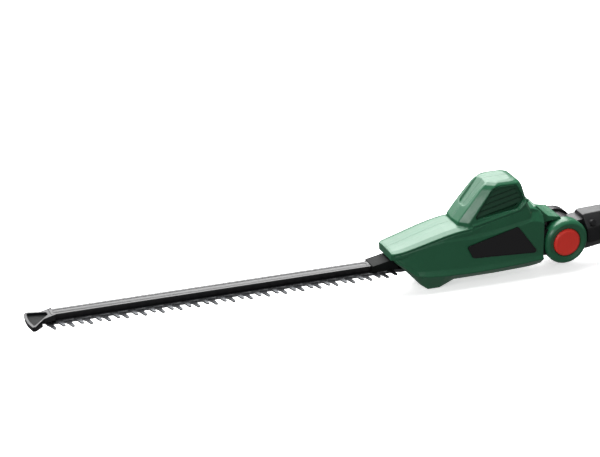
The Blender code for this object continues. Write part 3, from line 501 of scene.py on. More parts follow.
# x, bottom, half width of the bottom, half width and height of the side crease, rise of its flare
SIDES = ((-232.0, 8.0, 20.0, 22.5, 9.5, 2.0), (-227.0, 2.0, 21.0, 24.6, 5.0, 3.0),
         (-218.0, -6.0, 21.0, 27.0, -2.0, 4.0), (-203.0, -22.0, 20.0, 29.6, -15.0, 5.0),
         (-193.0, -32.5, 19.0, 30.8, -16.5, 6.0), (-183.0, -40.0, 18.0, 31.4, -17.5, 6.5),
         (-168.0, -40.0, 18.0, 31.9, -18.6, 7.0), (-158.0, -35.0, 19.0, 32.0, -19.2, 7.0),
         (-150.0, -30.5, 20.0, 32.0, -19.6, 7.0), (-130.0, -30.0, 21.0, 32.0, -20.5, 7.0),
         (-95.0, -30.0, 21.0, 32.0, -19.6, 7.0), (-62.0, -29.0, 21.0, 32.0, -18.2, 6.5),
         (-48.0, -28.5, 21.0, 31.7, -17.2, 6.0), (-38.0, -27.5, 20.5, 31.2, -17.0, 5.5),
         (-31.5, -26.5, 20.0, 30.4, -17.0, 5.0))
# x, height of the shoulder, how far its facet leans in and how far down the wall it starts
SHOULDER = ((-232.0, 11.5, 0.2, 0.6), (-218.0, 15.0, 0.2, 0.6), (-203.0, 19.0, 0.2, 0.6),
            (-190.0, 22.0, 0.2, 0.6), (-166.0, 26.0, 0.4, 1.0), (-150.0, 29.4, 2.6, 4.5),
            (-134.0, 33.0, 4.6, 9.0), (-118.0, 36.0, 6.0, 11.5), (-100.0, 38.8, 7.2, 12.5),
            (-62.0, 45.3, 7.2, 12.5), (-48.0, 48.0, 7.0, 12.5), (-38.0, 44.0, 6.2, 11.0),
            (-31.5, 38.0, 5.0, 9.0))
# x, height of the roof at its edge, half width there, rise of its crown
ROOF = ((-234.0, 15.8, 21.0, 1.2), (-231.0, 16.6, 23.8, 2.0), (-221.0, 18.4, 26.2, 2.6),
        (-203.0, 23.0, 27.6, 3.2), (-183.0, 28.6, 28.6, 3.6), (-163.0, 33.6, 29.0, 3.8),
        (-150.0, 36.0, 29.0, 3.8), (-130.0, 38.0, 28.6, 4.0), (-100.0, 41.0, 26.0, 4.0))
# height, front and rear of the tower's section, half width, width of the chamfers at the front
TOWER = ((24.0, -148.0, -44.0, 26.6, 9.0), (44.0, -145.0, -46.0, 26.6, 9.0), (60.0, -133.0, -54.0, 26.0, 8.6),
         (74.0, -121.5, -58.5, 25.0, 8.2), (83.0, -114.0, -61.5, 24.2, 8.0), (87.5, -109.5, -64.0, 22.6, 7.5),
         (90.0, -105.0, -68.0, 19.5, 6.5), (91.2, -100.0, -74.0, 15.0, 5.0))
REAR_TOP = ((-66.0, 50.5, 24.0, 3.0), (-58.0, 51.5, 24.0, 2.6), (-48.0, 51.0, 23.0, 2.0),
            (-40.0, 47.6, 22.0, 2.0), (-33.0, 42.0, 20.5, 1.6))
VENT = ((-128.5, 46.5), (-103.0, 84.0), (-92.0, 86.6), (-70.5, 86.0), (-60.0, 66.0), (-69.0, 54.8))
LABEL = ((-137.5, 14.6), (-68.6, 32.0), (-40.0, -6.4), (-129.2, -1.4))
LEDGE = ((-129.0, 40.0), (-124.0, 40.6), (-66.0, 53.2), (-57.0, 62.0), (-56.0, 66.0))
HEAD_SCREWS = ((-196.0, 6.0), (-160.0, -14.0), (-60.0, -16.0), (-52.0, 24.0))
FRONT_BEAD = ((-224.5, 15.0), (-215.0, 2.0), (-186.0, -27.5), (-172.0, -33.5), (-160.0, -30.0))
WALL = 2.5
SPLIT_GAP = 0.15


def side_section(x):
    """The lower body's outline across the head: foot, flared crease, wall, leaning shoulder facet."""
    bottom, low_half, half, crease, flare = between(SIDES, x)
    shoulder, lean, drop = between(SHOULDER, x)
    wall = half - 2.5
    right = rounded([(0.0, bottom), (low_half, bottom), (half, crease), (wall, crease + flare),
                     (wall - 0.6, shoulder - drop), (wall - 0.6 - lean, shoulder),
                     (wall - 2.0 - lean, shoulder + 1.4),
                     (0.0, shoulder + 2.6)], [0.0, min(5.0, low_half * 0.2), 1.4, 2.0, 0.6, 0.5, 0.4, 0.0], 4)
    return [(x, y, z) for y, z in right] + [(x, -y, z) for y, z in reversed(right[1:-1])]


def roof_section(x, edge, half, crown):
    """A strip of the roof: a thin edge, a sloping border and a crowned middle with two soft creases."""
    right = rounded([(0.0, edge - 9.0), (half - 1.5, edge - 9.0), (half - 0.4, edge - 2.6),
                     (half, edge - 1.8), (half - 0.8, edge), (half * 0.72, edge + crown * 0.62),
                     (half * 0.30, edge + crown * 0.96),
                     (0.0, edge + crown)], [0.0, 0.8, 0.3, 0.3, 0.6, 3.0, 4.0, 0.0], 4)
    return [(x, y, z) for y, z in right] + [(x, -y, z) for y, z in reversed(right[1:-1])]


def tower_section(height, front, rear, half, chamfer, inset=0.0):
    front, rear, half = front + inset, rear - inset, half - inset
    bow = 1.6
    lead = front + chamfer * 0.82 + 4.0
    plan = rounded([(front - bow, 0.0), (front, half - chamfer), (lead, half), (rear - 5.0, half),
                    (rear, half - 5.0), (rear, -half + 5.0), (rear - 5.0, -half), (lead, -half),
                    (front, -half + chamfer)], [30.0, 1.5, 1.5, 4.0, 4.0, 4.0, 4.0, 1.5, 1.5], 4)
    return [(x, y, height) for x, y in plan]


def front_panel(depth):
    """A shield-shaped block on the tower's sloping front, for the shallow panel there."""
    foot, top = Vector((-133.6, 0.0, 59.5)), Vector((-110.4, 0.0, 88.0))
    up = (top - foot).normalized()
    length = (top - foot).length
    outline = rounded([(0.0, -9.5), (length + 12.0, -12.5), (length + 12.0, 12.5), (0.0, 9.5)],
                      [7.0, 0.5, 0.5, 7.0], 8)
    block = prism([outline], -depth, 8.0)
    out = up.cross(Vector((0.0, 1.0, 0.0)))
    turn = Matrix((up, (0.0, -1.0, 0.0), out)).transposed().to_4x4()
    return moved(block, Matrix.Translation(foot) @ turn)


def saddle():
    """The bridge over the joint, from the rear hood to just past the tilt axis."""
    profile = rounded([(-50.0, 50.0), (-38.0, 50.2), (-29.0, 41.0), (-22.0, 34.6), (-13.0, 32.6),
                       (-5.4, 31.4), (-4.0, 29.8), (-4.4, 27.9), (-12.0, 27.9), (-24.0, 27.0), (-33.0, 20.0),
                       (-50.0, 20.0)],
                      [0.0, 4.0, 8.0, 8.0, 6.0, 0.9, 0.6, 0.5, 2.0, 2.0, 1.0, 0.0], 4)
    return bevelled(prism([profile], -17.0, 25.5, "Y"), 1.2, 2)


def housing_outside():
    """Lower body, roof, tower and saddle as one moulded skin, with its grooves, bead and recesses."""
    xs = sorted({row[0] for row in SIDES} | {row[0] for row in SHOULDER})
    body = loft([side_section(x) for x in xs])
    roof = loft([roof_section(*row) for row in ROOF])
    tower = loft([tower_section(*row) for row in TOWER])
    rear = loft([roof_section(*row) for row in REAR_TOP])
    ledges = [rail([(x, 26.2 * side, z) for x, z in LEDGE], 2.0) for side in (-1.0, 1.0)]
    grooves, seats = [], []
    for side in (-1.0, 1.0):
        under_roof = [(x, (half + 0.3) * side, edge - 3.0) for x, edge, half, _ in ROOF[1:-1]]
        grooves.append(rail(under_roof, 2.0))
        under_ledge = [(x, 27.6 * side, z - 3.0) for x, z in LEDGE]
        grooves.append(rail(under_ledge, 1.4))
        grooves.append(rail([(x, (between(SIDES, x)[2] - 0.9) * side, z) for x, z in FRONT_BEAD], 0.9))
        seats.append(prism([rounded(VENT, 3.0)], 22.0 * side, 40.0 * side, "Y"))
        seats.append(prism([rounded(LABEL, 2.8)], 28.3 * side, 40.0 * side, "Y"))
    shape = fuse(body, roof, tower, rear, saddle(), *ledges)
    shape = cut(shape, front_panel(1.7), *grooves, *seats)
    return moulded(shape, MOULD_GRAIN)


def housing_inside(side):
    """All that one half leaves open: the hollow, the other half, the mouth, the joint and the vent."""
    rings = []
    for x in (-214.0, -203.0, -190.0, -168.0, -150.0, -100.0, -62.0, -41.0):
        bottom, low_half, half, crease, _ = between(SIDES, x)
        shoulder, lean, drop = between(SHOULDER, x)
        wide, top = half - WALL - 2.8, shoulder - 1.0
        right = [(0.0, bottom + WALL), (low_half - WALL, bottom + WALL),
                 (wide, min(crease, top - drop - 4.0)), (wide, top - drop), (wide - lean, top), (0.0, top)]
        rings.append([(x, y, z) for y, z in right] + [(x, -y, z) for y, z in reversed(right[1:-1])])
    hollow = loft(rings)
    tower = loft([tower_section(*row, inset=WALL + (1.6 if 40.0 < row[0] < 85.0 else 1.0))
                  for row in TOWER[:6]])
    other = other_half(side, (-260.0, 20.0), (-60.0, 120.0))
    mouth = box((-260.0, -14.5, -13.9), (-200.0, 14.5, 5.4))
    rear = box((-42.0, -24.6, -19.0), (0.0, 24.6, 27.0))
    vent = prism([rounded(shrunk(VENT, 2.6), 2.0)], 15.0 * side, 40.0 * side, "Y")
    openings = [tower, other, mouth, rear, vent]
    if side > 0:
        openings += [rod(3.6, (x, 20.0, z), (x, 40.0, z), sides=24) for x, z in HEAD_SCREWS]
    return fuse(hollow, *openings)


def make_housing():
    outside = housing_outside()
    for side, word in ((-1.0, "left"), (1.0, "right")):
        shell = cut(outside.copy(), housing_inside(side))
        piece(f"housing_shell_{word}", shell, HEAD, GREEN, "head", "green_plastic", f"housing_{word}",
              sharp=38.0)
    outside.free()


def louvre_panel(side):
    """The dark green insert in the tower's wall: a raised frame and slats that lean out at the bottom."""
    rise = math.radians(13.5)
    along, up = Vector((math.cos(rise), math.sin(rise))), Vector((-math.sin(rise), math.cos(rise)))
    edge = shrunk(VENT, 0.35)
    backing = prism([rounded(edge, 2.8)], 20.6, 21.8, "Y")
    rim = cut(prism([rounded(edge, 2.8)], 20.7, 24.0, "Y"),
              prism([rounded(shrunk(VENT, 2.7), 2.2)], 15.0, 30.0, "Y"))
    start = Vector((-128.0, 43.0))
    slats = []
    for row in range(6):
        foot = start + up * (4.2 + 6.9 * row)
        section = rounded([(0.0, 21.0), (0.0, 24.4), (0.9, 24.4), (5.6, 21.9), (5.6, 21.0)],
                          [0.0, 0.5, 0.5, 0.5, 0.0], 3)
        rings = [[(foot.x + along.x * reach + up.x * lift, out, foot.y + along.y * reach + up.y * lift)
                  for lift, out in section] for reach in (-20.0, 90.0)]
        slats.append(loft(rings))
    inside = prism([rounded(shrunk(VENT, 2.4), 2.2)], 15.0, 30.0, "Y")
    field = fuse(slats[0], *slats[1:])
    field = combined(field, [inside], "INTERSECT")
    return on_side(fuse(backing, rim, field), side)


def side_plate(side):
    """The gloss plate: a flat field inside a thin raised border. It carries no marking."""
    edge = shrunk(LABEL, 0.35)
    plate = bevelled(prism([rounded(edge, 2.6, 8)], 28.6, 30.7, "Y"), 0.45, 3)
    field = prism([rounded(shrunk(LABEL, 2.0), 1.8, 8)], 30.25, 35.0, "Y")
    return on_side(cut(plate, field), side)


def make_side_details():
    for side, word in ((-1.0, "left"), (1.0, "right")):
        piece(f"vent_louvres_{word}", louvre_panel(side), HEAD, DARK_GREEN, "head", "black_plastic",
              f"vent_grille_{word}")
        piece(f"side_cover_plate_{word}", side_plate(side), HEAD, GLOSS_BLACK, "head", "gloss_black",
              f"side_plate_{word}", sharp=25.0)


def screw(name, x, y, z, place, body, *nodes, radius=3.2):
    """A pan head with a six-lobed socket, looking along +Y."""
    head = lathe([(0.0, 2.4), (radius * 0.55, 2.3), (radius * 0.9, 1.7), (radius, 0.9), (radius, 0.0),
                  (1.6, -0.01), (1.6, -3.6), (0.0, -4.2)], "Y", (x, y, z), sides=32)
    lobes = []
    for i in range(48):
        angle = 2 * math.pi * i / 48
        reach = 1.35 + 0.22 * math.cos(6 * angle)
        lobes.append((x + reach * math.cos(angle), z + reach * math.sin(angle)))
    head = cut(head, prism([lobes], y + 0.9, y + 4.0, "Y"))
    return piece(name, head, place, STEEL, body, "steel", *nodes)


def make_head_screws():
    for number, (x, z) in enumerate(HEAD_SCREWS, 1):
        screw(f"shell_screw_{number}", x, 28.6, z, HEAD, "head", f"housing_screw_{number}")


# ---------------------------------------------------------------- blades, bar and guards

BLADE_TIP_X = -663.0
BLADE_PITCH = 22.0
TOOTH_COUNT = 20
TOOTH_TIP_Y = 25.2
SPINE_Y = 11.0
FIRST_TOOTH_X = -661.0
BLADE_STROKE = 11.0
BLADE_THICK = 2.0
BAR_TOP_Z = -1.2
BAR_UNDER_Z = -8.8
BAR_HALF_WIDTH = 8.0
BAR_TIP_X = -657.0
TAIL_HALF_WIDTH = 13.0
TAIL_START_X = -223.0
YOKE_HALF_WIDTH = 21.5
YOKE_X = -113.0
YOKE_REACH = 16.8
BAR_SCREW_X = (-600.0, -510.0, -420.0, -330.0, -262.0)
SHOE_BACK_X = -653.0
SHOE_TOP_Z = -0.45
SHOE_SLOPE = 0.247
SHOE_FIELD_DEPTH = 3.2


def blade_outline(phase, yoke_low, yoke_high):
    """One blade: slim slanted teeth on both sides, a tail and the yoke round its eccentric."""
    tooth = [(5.5, SPINE_Y, 1.2), (3.9, SPINE_Y + 3.5, 2.0), (5.4, TOOTH_TIP_Y - 1.4, 0.8),
             (4.0, TOOTH_TIP_Y, 0.8), (2.0, TOOTH_TIP_Y - 0.6, 0.8), (-0.8, SPINE_Y + 4.0, 2.0),
             (-4.2, SPINE_Y, 1.2)]
    side = [(yoke_high, YOKE_HALF_WIDTH - 4.0, 1.0), (yoke_high - 4.0, YOKE_HALF_WIDTH, 1.0),
            (yoke_low + 4.0, YOKE_HALF_WIDTH, 1.0), (yoke_low - 6.0, TAIL_HALF_WIDTH, 1.0),
            (TAIL_START_X + 4.0, TAIL_HALF_WIDTH, 1.0), (TAIL_START_X, SPINE_Y, 0.3)]
    for i in reversed(range(TOOTH_COUNT)):
        x = FIRST_TOOTH_X + phase + i * BLADE_PITCH
        side += [(x + along, across, radius) for along, across, radius in tooth]
    side += [(BLADE_TIP_X + phase, SPINE_Y - 1.0, 0.5), (BLADE_TIP_X + phase - 4.0, 4.0, 1.0)]
    corners = side + [(x, -y, radius) for x, y, radius in reversed(side)]
    return rounded([(x, y) for x, y, _ in corners], [radius for _, _, radius in corners], 3)


def make_blades():
    """Both blades, dark on their faces and bright where the teeth are ground."""
    for name, top, ahead, behind, node in (
            ("blade_upper", BAR_UNDER_Z - 0.2, 0.0, BLADE_STROKE, "upper_blade"),
            ("blade_lower", BAR_UNDER_Z - 0.4 - BLADE_THICK, BLADE_STROKE, 0.0, "lower_blade")):
        phase = 0.0 if ahead else BLADE_STROKE
        low, high = YOKE_X - YOKE_REACH - ahead, YOKE_X + YOKE_REACH + behind
        half = YOKE_REACH + 0.2
        yoke = rounded([(low, -half), (high, -half), (high, half), (low, half)], 10.0, 8)
        holes = [slot(x - ahead, x + behind, 2.5) for x in BAR_SCREW_X]
        outline = blade_outline(phase, low - 4.0, high + 4.0)
        blade = bevelled(prism([outline, yoke] + holes, top - BLADE_THICK, top), 0.35, 1)
        blade.normal_update()
        obj = piece(name, blade, HEAD, BLADE, node, "blade_steel", node)
        obj.data.materials.append(EDGE)
        for face in obj.data.polygons:
            centre = face.center
            if abs(centre.y) > SPINE_Y * MM and abs(face.normal.z) < 0.95 and centre.x < TILT.x - 0.235:
                face.material_index = 1


def make_bar():
    """The black bar above the blades, rubbed along its length, with a shallow channel in its top."""
    outline = rounded([(BAR_TIP_X, -BAR_HALF_WIDTH), (-150.0, -BAR_HALF_WIDTH), (-150.0, BAR_HALF_WIDTH),
                       (BAR_TIP_X, BAR_HALF_WIDTH)], [1.0, 2.0, 2.0, 1.0], 6)
    bar = prism([outline], BAR_UNDER_Z, BAR_TOP_Z)
    channel = prism([slot(-650.0, -262.0, 4.2, 10)], BAR_TOP_Z - 0.5, BAR_TOP_Z + 4.0)
    bar = bevelled(cut(bar, channel), 0.5, 2)
    holes = [rod(2.3, (x, 0.0, BAR_UNDER_Z - 1.0), (x, 0.0, BAR_UNDER_Z + 5.0),
                 sides=24) for x in BAR_SCREW_X]
    piece("bar_with_channel", cut(bar, *holes), HEAD, BAR_BLACK, "head", "bar_metal", "guide_bar")
    for number, x in enumerate(BAR_SCREW_X, 1):
        below = BAR_UNDER_Z - 2 * BLADE_THICK - 0.8
        head = lathe([(0.0, BAR_UNDER_Z + 4.4), (2.0, BAR_UNDER_Z + 4.0), (2.0, below), (4.6, below - 0.01),
                      (4.6, below - 2.0), (4.2, below - 2.6), (3.4, below - 2.9), (0.0, below - 3.0)],
                     centre=(x, 0.0, 0.0), sides=40)
        socket = prism([circle(x, 0.0, 2.3, 6)], below - 4.0, below - 1.4)
        piece(f"blade_screw_{number}", cut(head, socket), HEAD, STEEL, "head", "steel", f"bar_screw_{number}")


def slope_height(x):
    return SHOE_TOP_Z + (x - SHOE_BACK_X) * SHOE_SLOPE


def above_slope(drop):
    """The space over the shoe's sloping top, or over a plane lower by a drop."""
    line = [(x, slope_height(x) - drop) for x in (-700.0, -640.0)]
    return prism([line + [(-640.0, 30.0), (-700.0, 30.0)]], -30.0, 30.0, "Y")


def make_tip_guard():
    """The shoe on the bar's end: a delta sloping down to its front, with a rim round a matte sunk field whose
    darker black is painted shade.
    """
    edge = [(SHOE_BACK_X, 10.4), (-667.0, 10.4), (-680.0, 21.6), (-683.5, 20.6), (-685.5, 6.0),
            (-685.5, -6.0), (-683.5, -20.6), (-680.0, -21.6), (-667.0, -10.4), (SHOE_BACK_X, -10.4)]
    corners = [0.5, 4.0, 1.2, 1.2, 6.0, 6.0, 1.2, 1.2, 4.0, 0.5]
    guard = bevelled(cut(prism([rounded(edge, corners, 6)], -13.6, 5.0), above_slope(0.0)), 0.6, 3)
    inner = [(-660.5, 3.6), (-679.3, 18.0), (-681.3, 17.4), (-682.8, 5.0), (-682.8, -5.0), (-681.3, -17.4),
             (-679.3, -18.0), (-660.5, -3.6)]
    field = combined(prism([rounded(inner, 1.0, 6)], -20.0, 10.0), [above_slope(SHOE_FIELD_DEPTH)],
                     "INTERSECT")
    blades = box((-669.0, -27.5, -20.0), (-640.0, 27.5, -8.5))
    bar = box((BAR_TIP_X - 0.4, -BAR_HALF_WIDTH - 0.3, -9.1), (-640.0, BAR_HALF_WIDTH + 0.3, 8.0))
    guard = cut(guard, field, blades, bar)
    obj = piece("tip_shoe", guard, HEAD, GUARD_BLACK, "head", "black_plastic", "tip_guard", sharp=40.0)
    # The floor of the sunk field takes root_black, a duller, darker black, as painted shade in the recess.
    obj.data.materials.append(ROOT_BLACK)
    for face in obj.data.polygons:
        x, _, z = (face.center - TILT) / MM
        if z < slope_height(x) - 2.0 and face.normal.z > 0.9:
            face.material_index = 1


def make_root_guard():
    profile = rounded([(-255.0, -8.6), (-221.5, -8.6), (-221.5, 5.0), (-233.0, 4.2), (-246.0, 1.4),
                       (-255.0, -0.2)],
                      [1.0, 0.0, 0.0, 7.0, 9.0, 1.0], 6)
    saddle_block = bevelled(prism([profile], -12.5, 12.5, "Y"), 1.2, 3)
    seat = box((-260.0, -BAR_HALF_WIDTH - 0.3, -12.0), (-210.0, BAR_HALF_WIDTH + 0.3, BAR_TOP_Z + 0.3))
    piece("bar_saddle", cut(saddle_block, seat), HEAD, ROOT_BLACK, "head", "black_plastic", "root_guard")


# ---------------------------------------------------------------- tilting joint

EAR_R = 29.0
EAR_BORE_R = 23.2
EAR_FACE_Y = 30.0
EAR_BACK_Y = 13.3
ARM_INNER_Y = 13.0
ARM_OUTER_Y = 21.7
ARM_R = 22.9
KNUCKLE_R = 26.0
KNUCKLE_HALF = 12.5
PIN_R = 5.0
BUTTON_R = 17.8
BUTTON_FACE_Y = 30.6
BUTTON_BACK_Y = 26.0


def make_ears():
    """The near ear is green like the shells and the far one black. Each holds a red release button."""
    for side, word, paint, slot_name in ((-1.0, "left", GREEN, "green_plastic"),
                                         (1.0, "right", BLACK, "black_plastic")):
        outward = "-Y" if side < 0 else "Y"
        ring = lathe([(BUTTON_R + 0.5, EAR_FACE_Y - 2.2), (BUTTON_R + 1.3, EAR_FACE_Y - 1.2),
                      (22.6, EAR_FACE_Y - 0.4), (23.2, EAR_FACE_Y), (25.2, EAR_FACE_Y),
                      (25.9, EAR_FACE_Y - 0.3), (28.4, EAR_FACE_Y - 3.4), (EAR_R, EAR_FACE_Y - 4.6),
                      (EAR_R, EAR_BACK_Y + 0.6), (EAR_R - 0.6, EAR_BACK_Y), (EAR_BORE_R, EAR_BACK_Y),
                      (EAR_BORE_R, ARM_OUTER_Y + 0.4),
                      (BUTTON_R + 0.5, ARM_OUTER_Y + 0.4)], outward, sides=144, ring=True)
        notch = side_box(side, (-50.0, -10.0), (0.0, ARM_OUTER_Y + 0.3), (-16.3, 17.3))
        piece(f"ear_cup_{word}", cut(ring, notch), HEAD, paint, "head", slot_name, f"ear_{word}")
        button = lathe([(0.0, BUTTON_FACE_Y - 0.35), (9.0, BUTTON_FACE_Y - 0.30),
                        (13.6, BUTTON_FACE_Y - 0.12), (14.6, BUTTON_FACE_Y), (15.4, BUTTON_FACE_Y - 0.05),
                        (17.2, BUTTON_FACE_Y - 1.2), (BUTTON_R, BUTTON_FACE_Y - 2.2),
                        (BUTTON_R, BUTTON_BACK_Y), (11.5, BUTTON_BACK_Y), (11.5, BUTTON_FACE_Y - 2.0),
                        (3.0, BUTTON_FACE_Y - 2.0), (3.0, BUTTON_BACK_Y - 0.4),
                        (0.0, BUTTON_BACK_Y - 0.4)], outward, sides=120)
        piece(f"tilt_button_{word}", button, HEAD, RED, f"release_button_{word}", "red_plastic",
              f"release_button_{word}", sharp=40.0)
        spring_line = []
        turns, steps = 1.5, 72
        for i in range(steps + 1):
            angle = 2 * math.pi * turns * i / steps
            out = (ARM_OUTER_Y + 0.9 + 1.3 * i / steps) * side
            spring_line.append((9.0 * math.cos(angle), out, 9.0 * math.sin(angle)))
        piece(f"tilt_button_spring_{word}", rail(spring_line, 0.55, 8), HEAD, STEEL, "head", "steel",
              f"button_spring_{word}")


def make_fork():
    """The black fork between the ears, with its two arms."""
    fork = box((-60.0, -24.2, -16.0), (-37.0, 24.2, 23.0))
    arms = []
    for side in (-1.0, 1.0):
        arms.append(side_box(side, (-45.0, 0.0), (ARM_INNER_Y, ARM_OUTER_Y), (-16.0, 17.0)))
        arms.append(rod(ARM_R, (0.0, ARM_INNER_Y * side, 0.0), (0.0, ARM_OUTER_Y * side, 0.0), sides=96))
    sweep = rod(KNUCKLE_R + 1.0, (0.0, -ARM_INNER_Y, 0.0), (0.0, ARM_INNER_Y, 0.0), sides=96)
    bore = rod(PIN_R + 0.3, (0.0, -40.0, 0.0), (0.0, 40.0, 0.0), sides=48)
    fork = bevelled(cut(fuse(fork, *arms), sweep, bore), 0.5, 2)
    piece("fork_frame", fork, HEAD, BLACK, "head", "black_plastic", "fork_chassis")
    pin = lathe([(0.0, 20.6), (PIN_R - 0.6, 20.6), (PIN_R, 20.0), (PIN_R, -20.0), (PIN_R - 0.6, -20.6),
                 (0.0, -20.6)], "Y", sides=64)
    piece("tilt_pin", pin, HEAD, STEEL, "pole", "steel", "pivot_pin")


# ---------------------------------------------------------------- pole

INNER_TUBE = (48.0, 1075.0, 13.5, 12.0)
OUTER_TUBE = (430.0, 1135.0, 16.3, 14.8)
BARREL_START = 31.0
BARREL_END = 118.0
COLLAR_LOW, COLLAR_HIGH = 380.0, 428.0
GRIP_LOW, GRIP_HIGH = 560.0, 780.0
STRAP_LOW, STRAP_HIGH = 850.0, 878.0


def octagon(x, flat):
    across = flat / math.cos(math.pi / 8)
    corners = [(across * math.cos(math.pi / 8 * (2 * i + 1)), across * math.sin(math.pi / 8 * (2 * i + 1)))
               for i in range(8)]
    return [(x, y, z) for y, z in rounded(corners, 2.2, 3)]


def make_adaptor():
    """Knuckle with index notches, neck, and the faceted barrel with side slots and a clamp screw boss."""
    knuckle = rod(KNUCKLE_R, (0.0, -KNUCKLE_HALF, 0.0), (0.0, KNUCKLE_HALF, 0.0), sides=120)
    neck = box((4.0, -KNUCKLE_HALF + 0.2, -18.5), (BARREL_START + 4.0, KNUCKLE_HALF - 0.2, 18.5))
    barrel = loft([octagon(x, flat) for x, flat in ((BARREL_START, 21.6), (BARREL_START + 0.8, 22.9),
                                                    (BARREL_START + 3.2, 24.0), (62.0, 22.8), (90.0, 21.2),
                                                    (92.0, 20.2), (96.0, 20.2), (97.5, 19.6),
                                                    (BARREL_END - 1.5, 18.6), (BARREL_END, 17.4))])
    boss = rod(4.2, (40.0, -16.0, 12.5), (40.0, -23.6, 15.6), sides=40, end_radius=3.6)
    shape = fuse(knuckle, neck, barrel, boss)
    side_slot = rounded([(48.0, -5.0), (84.0, -4.6), (84.0, 4.6), (48.0, 5.0)], 2.0, 5)
    slots = [prism([side_slot], 21.9 * side, 30.0 * side, "Y") for side in (-1.0, 1.0)]
    tube_seat = rod(INNER_TUBE[2] + 0.3, (INNER_TUBE[0] - 1.0, 0.0, 0.0), (130.0, 0.0, 0.0), sides=64)
    pin_hole = rod(PIN_R + 0.3, (0.0, -40.0, 0.0), (0.0, 40.0, 0.0), sides=48)
    notches = []
    for i in range(9):
        angle = math.radians(100.0 + 20.0 * i)
        centre = ((KNUCKLE_R + 0.6) * math.cos(angle), (KNUCKLE_R + 0.6) * math.sin(angle))
        notches.append(rod(1.6, (centre[0], -8.0, centre[1]), (centre[0], 8.0, centre[1]), sides=16))
    shape = cut(shape, tube_seat, pin_hole, *slots, *notches)
    piece("adaptor_body", bevelled(shape, 0.5, 2, 40.0), POLE, BLACK, "pole", "black_plastic", "pole_adaptor")


def make_tubes():
    for name, (start, end, outer, inner), body, node in (
            ("tube_inner", INNER_TUBE, "pole", "inner_tube"), ("tube_outer", OUTER_TUBE, "handle",
                                                               "outer_tube")):
        profile = [(inner, end), (outer - 0.5, end), (outer, end - 0.5), (outer, start + 0.5),
                   (outer - 0.5, start), (inner, start)]
        tube = lathe(profile, "X", sides=96, ring=True)
        piece(name, tube, POLE, TUBE_BLACK, body, "tube_black", node)
    front, inner, outer = OUTER_TUBE[0], INNER_TUBE[2], OUTER_TUBE[2]
    bore = OUTER_TUBE[3]
    bush = lathe([(inner + 0.3, front + 32.0), (bore - 0.3, front + 32.0), (bore - 0.3, front + 2.0),
                  (inner + 0.3, front + 2.0)], "X", sides=64, ring=True)
    piece("tube_bush", bush, POLE, BLACK, "handle", "black_plastic", "slide_bush")
    clamp = lathe([(outer + 0.3, front + 42.0), (19.6, front + 42.0), (20.6, front + 41.0),
                   (20.6, front + 39.5), (21.6, front + 38.5), (22.5, front + 36.0), (22.5, front + 26.0),
                   (21.8, front + 25.2), (21.8, front + 23.8), (22.5, front + 23.0), (22.5, front + 1.6),
                   (21.4, front + 0.5), (19.0, front + 0.5), (19.0, front - 22.0),
                   (inner + 0.6, front - 22.0), (inner + 0.6, front - 0.4),
                   (outer + 0.3, front - 0.4)], "X", sides=96, ring=True)
    piece("tube_clamp_body", clamp, POLE, BLACK, "handle", "black_plastic", "tube_clamp")


def fluted(x, radius, depth, count=12, sides=144):
    """A round section with shallow hollows for the fingers."""
    ring = []
    for i in range(sides):
        angle = 2 * math.pi * i / sides
        hollow = max(0.0, math.cos(count * angle)) ** 2
        reach = radius - depth * hollow
        ring.append((x, reach * math.cos(angle), reach * math.sin(angle)))
    return ring


def make_collar():
    low, high, inner = COLLAR_LOW, COLLAR_HIGH, INNER_TUBE[2]
    sections = [(low, 18.4, 0.0), (low + 1.0, 19.2, 0.0), (low + 8.0, 23.6, 0.0), (low + 10.0, 24.9, 0.1),
                (low + 13.0, 25.0, 1.3), (high - 8.0, 25.0, 1.3), (high - 5.0, 25.0, 0.2),
                (high - 3.6, 24.0, 0.0), (high - 2.8, 24.0, 0.0), (high - 2.0, 24.8, 0.0),
                (high - 0.8, 24.6, 0.0), (high, 23.6, 0.0)]
    collar = loft([fluted(*row) for row in sections])
    bore = lathe([(0.0, high + 2.0), (19.4, high + 2.0), (19.4, low + 27.0), (inner + 0.6, low + 22.0),
                  (inner + 0.6, low - 2.0), (0.0, low - 2.0)], "X", sides=96)
    piece("twist_collar", cut(collar, bore), POLE, RED, "lock_collar", "red_plastic", "lock_collar")


def make_front_grip():
    """A rubber sleeve with end beads and rows of fine rings between smooth bands."""
    low, high, outer = GRIP_LOW, GRIP_HIGH, OUTER_TUBE[2]
    profile = [(outer + 0.3, high), (20.6, high), (22.0, high - 0.7), (22.5, high - 2.2), (22.4, high - 8.0),
               (21.4, high - 10.0), (20.4, high - 11.0)]
    x, ring_gap = high - 16.0, 5.0
    while x > low + 16.0:
        profile += [(20.4, x + 1.4), (21.2, x + 1.0), (21.5, x + 0.2), (21.5, x - 1.4), (21.2, x - 2.2),
                    (20.4, x - 2.6)]
        x -= ring_gap
    profile += [(20.4, low + 11.0), (21.4, low + 10.0), (22.4, low + 8.0), (22.5, low + 2.2),
                (22.0, low + 0.7), (20.6, low), (outer + 0.3, low)]
    sleeve = lathe(profile, "X", sides=96, ring=True)
    piece("grip_sleeve", sleeve, POLE, RUBBER, "handle", "rubber_grip", "front_grip")


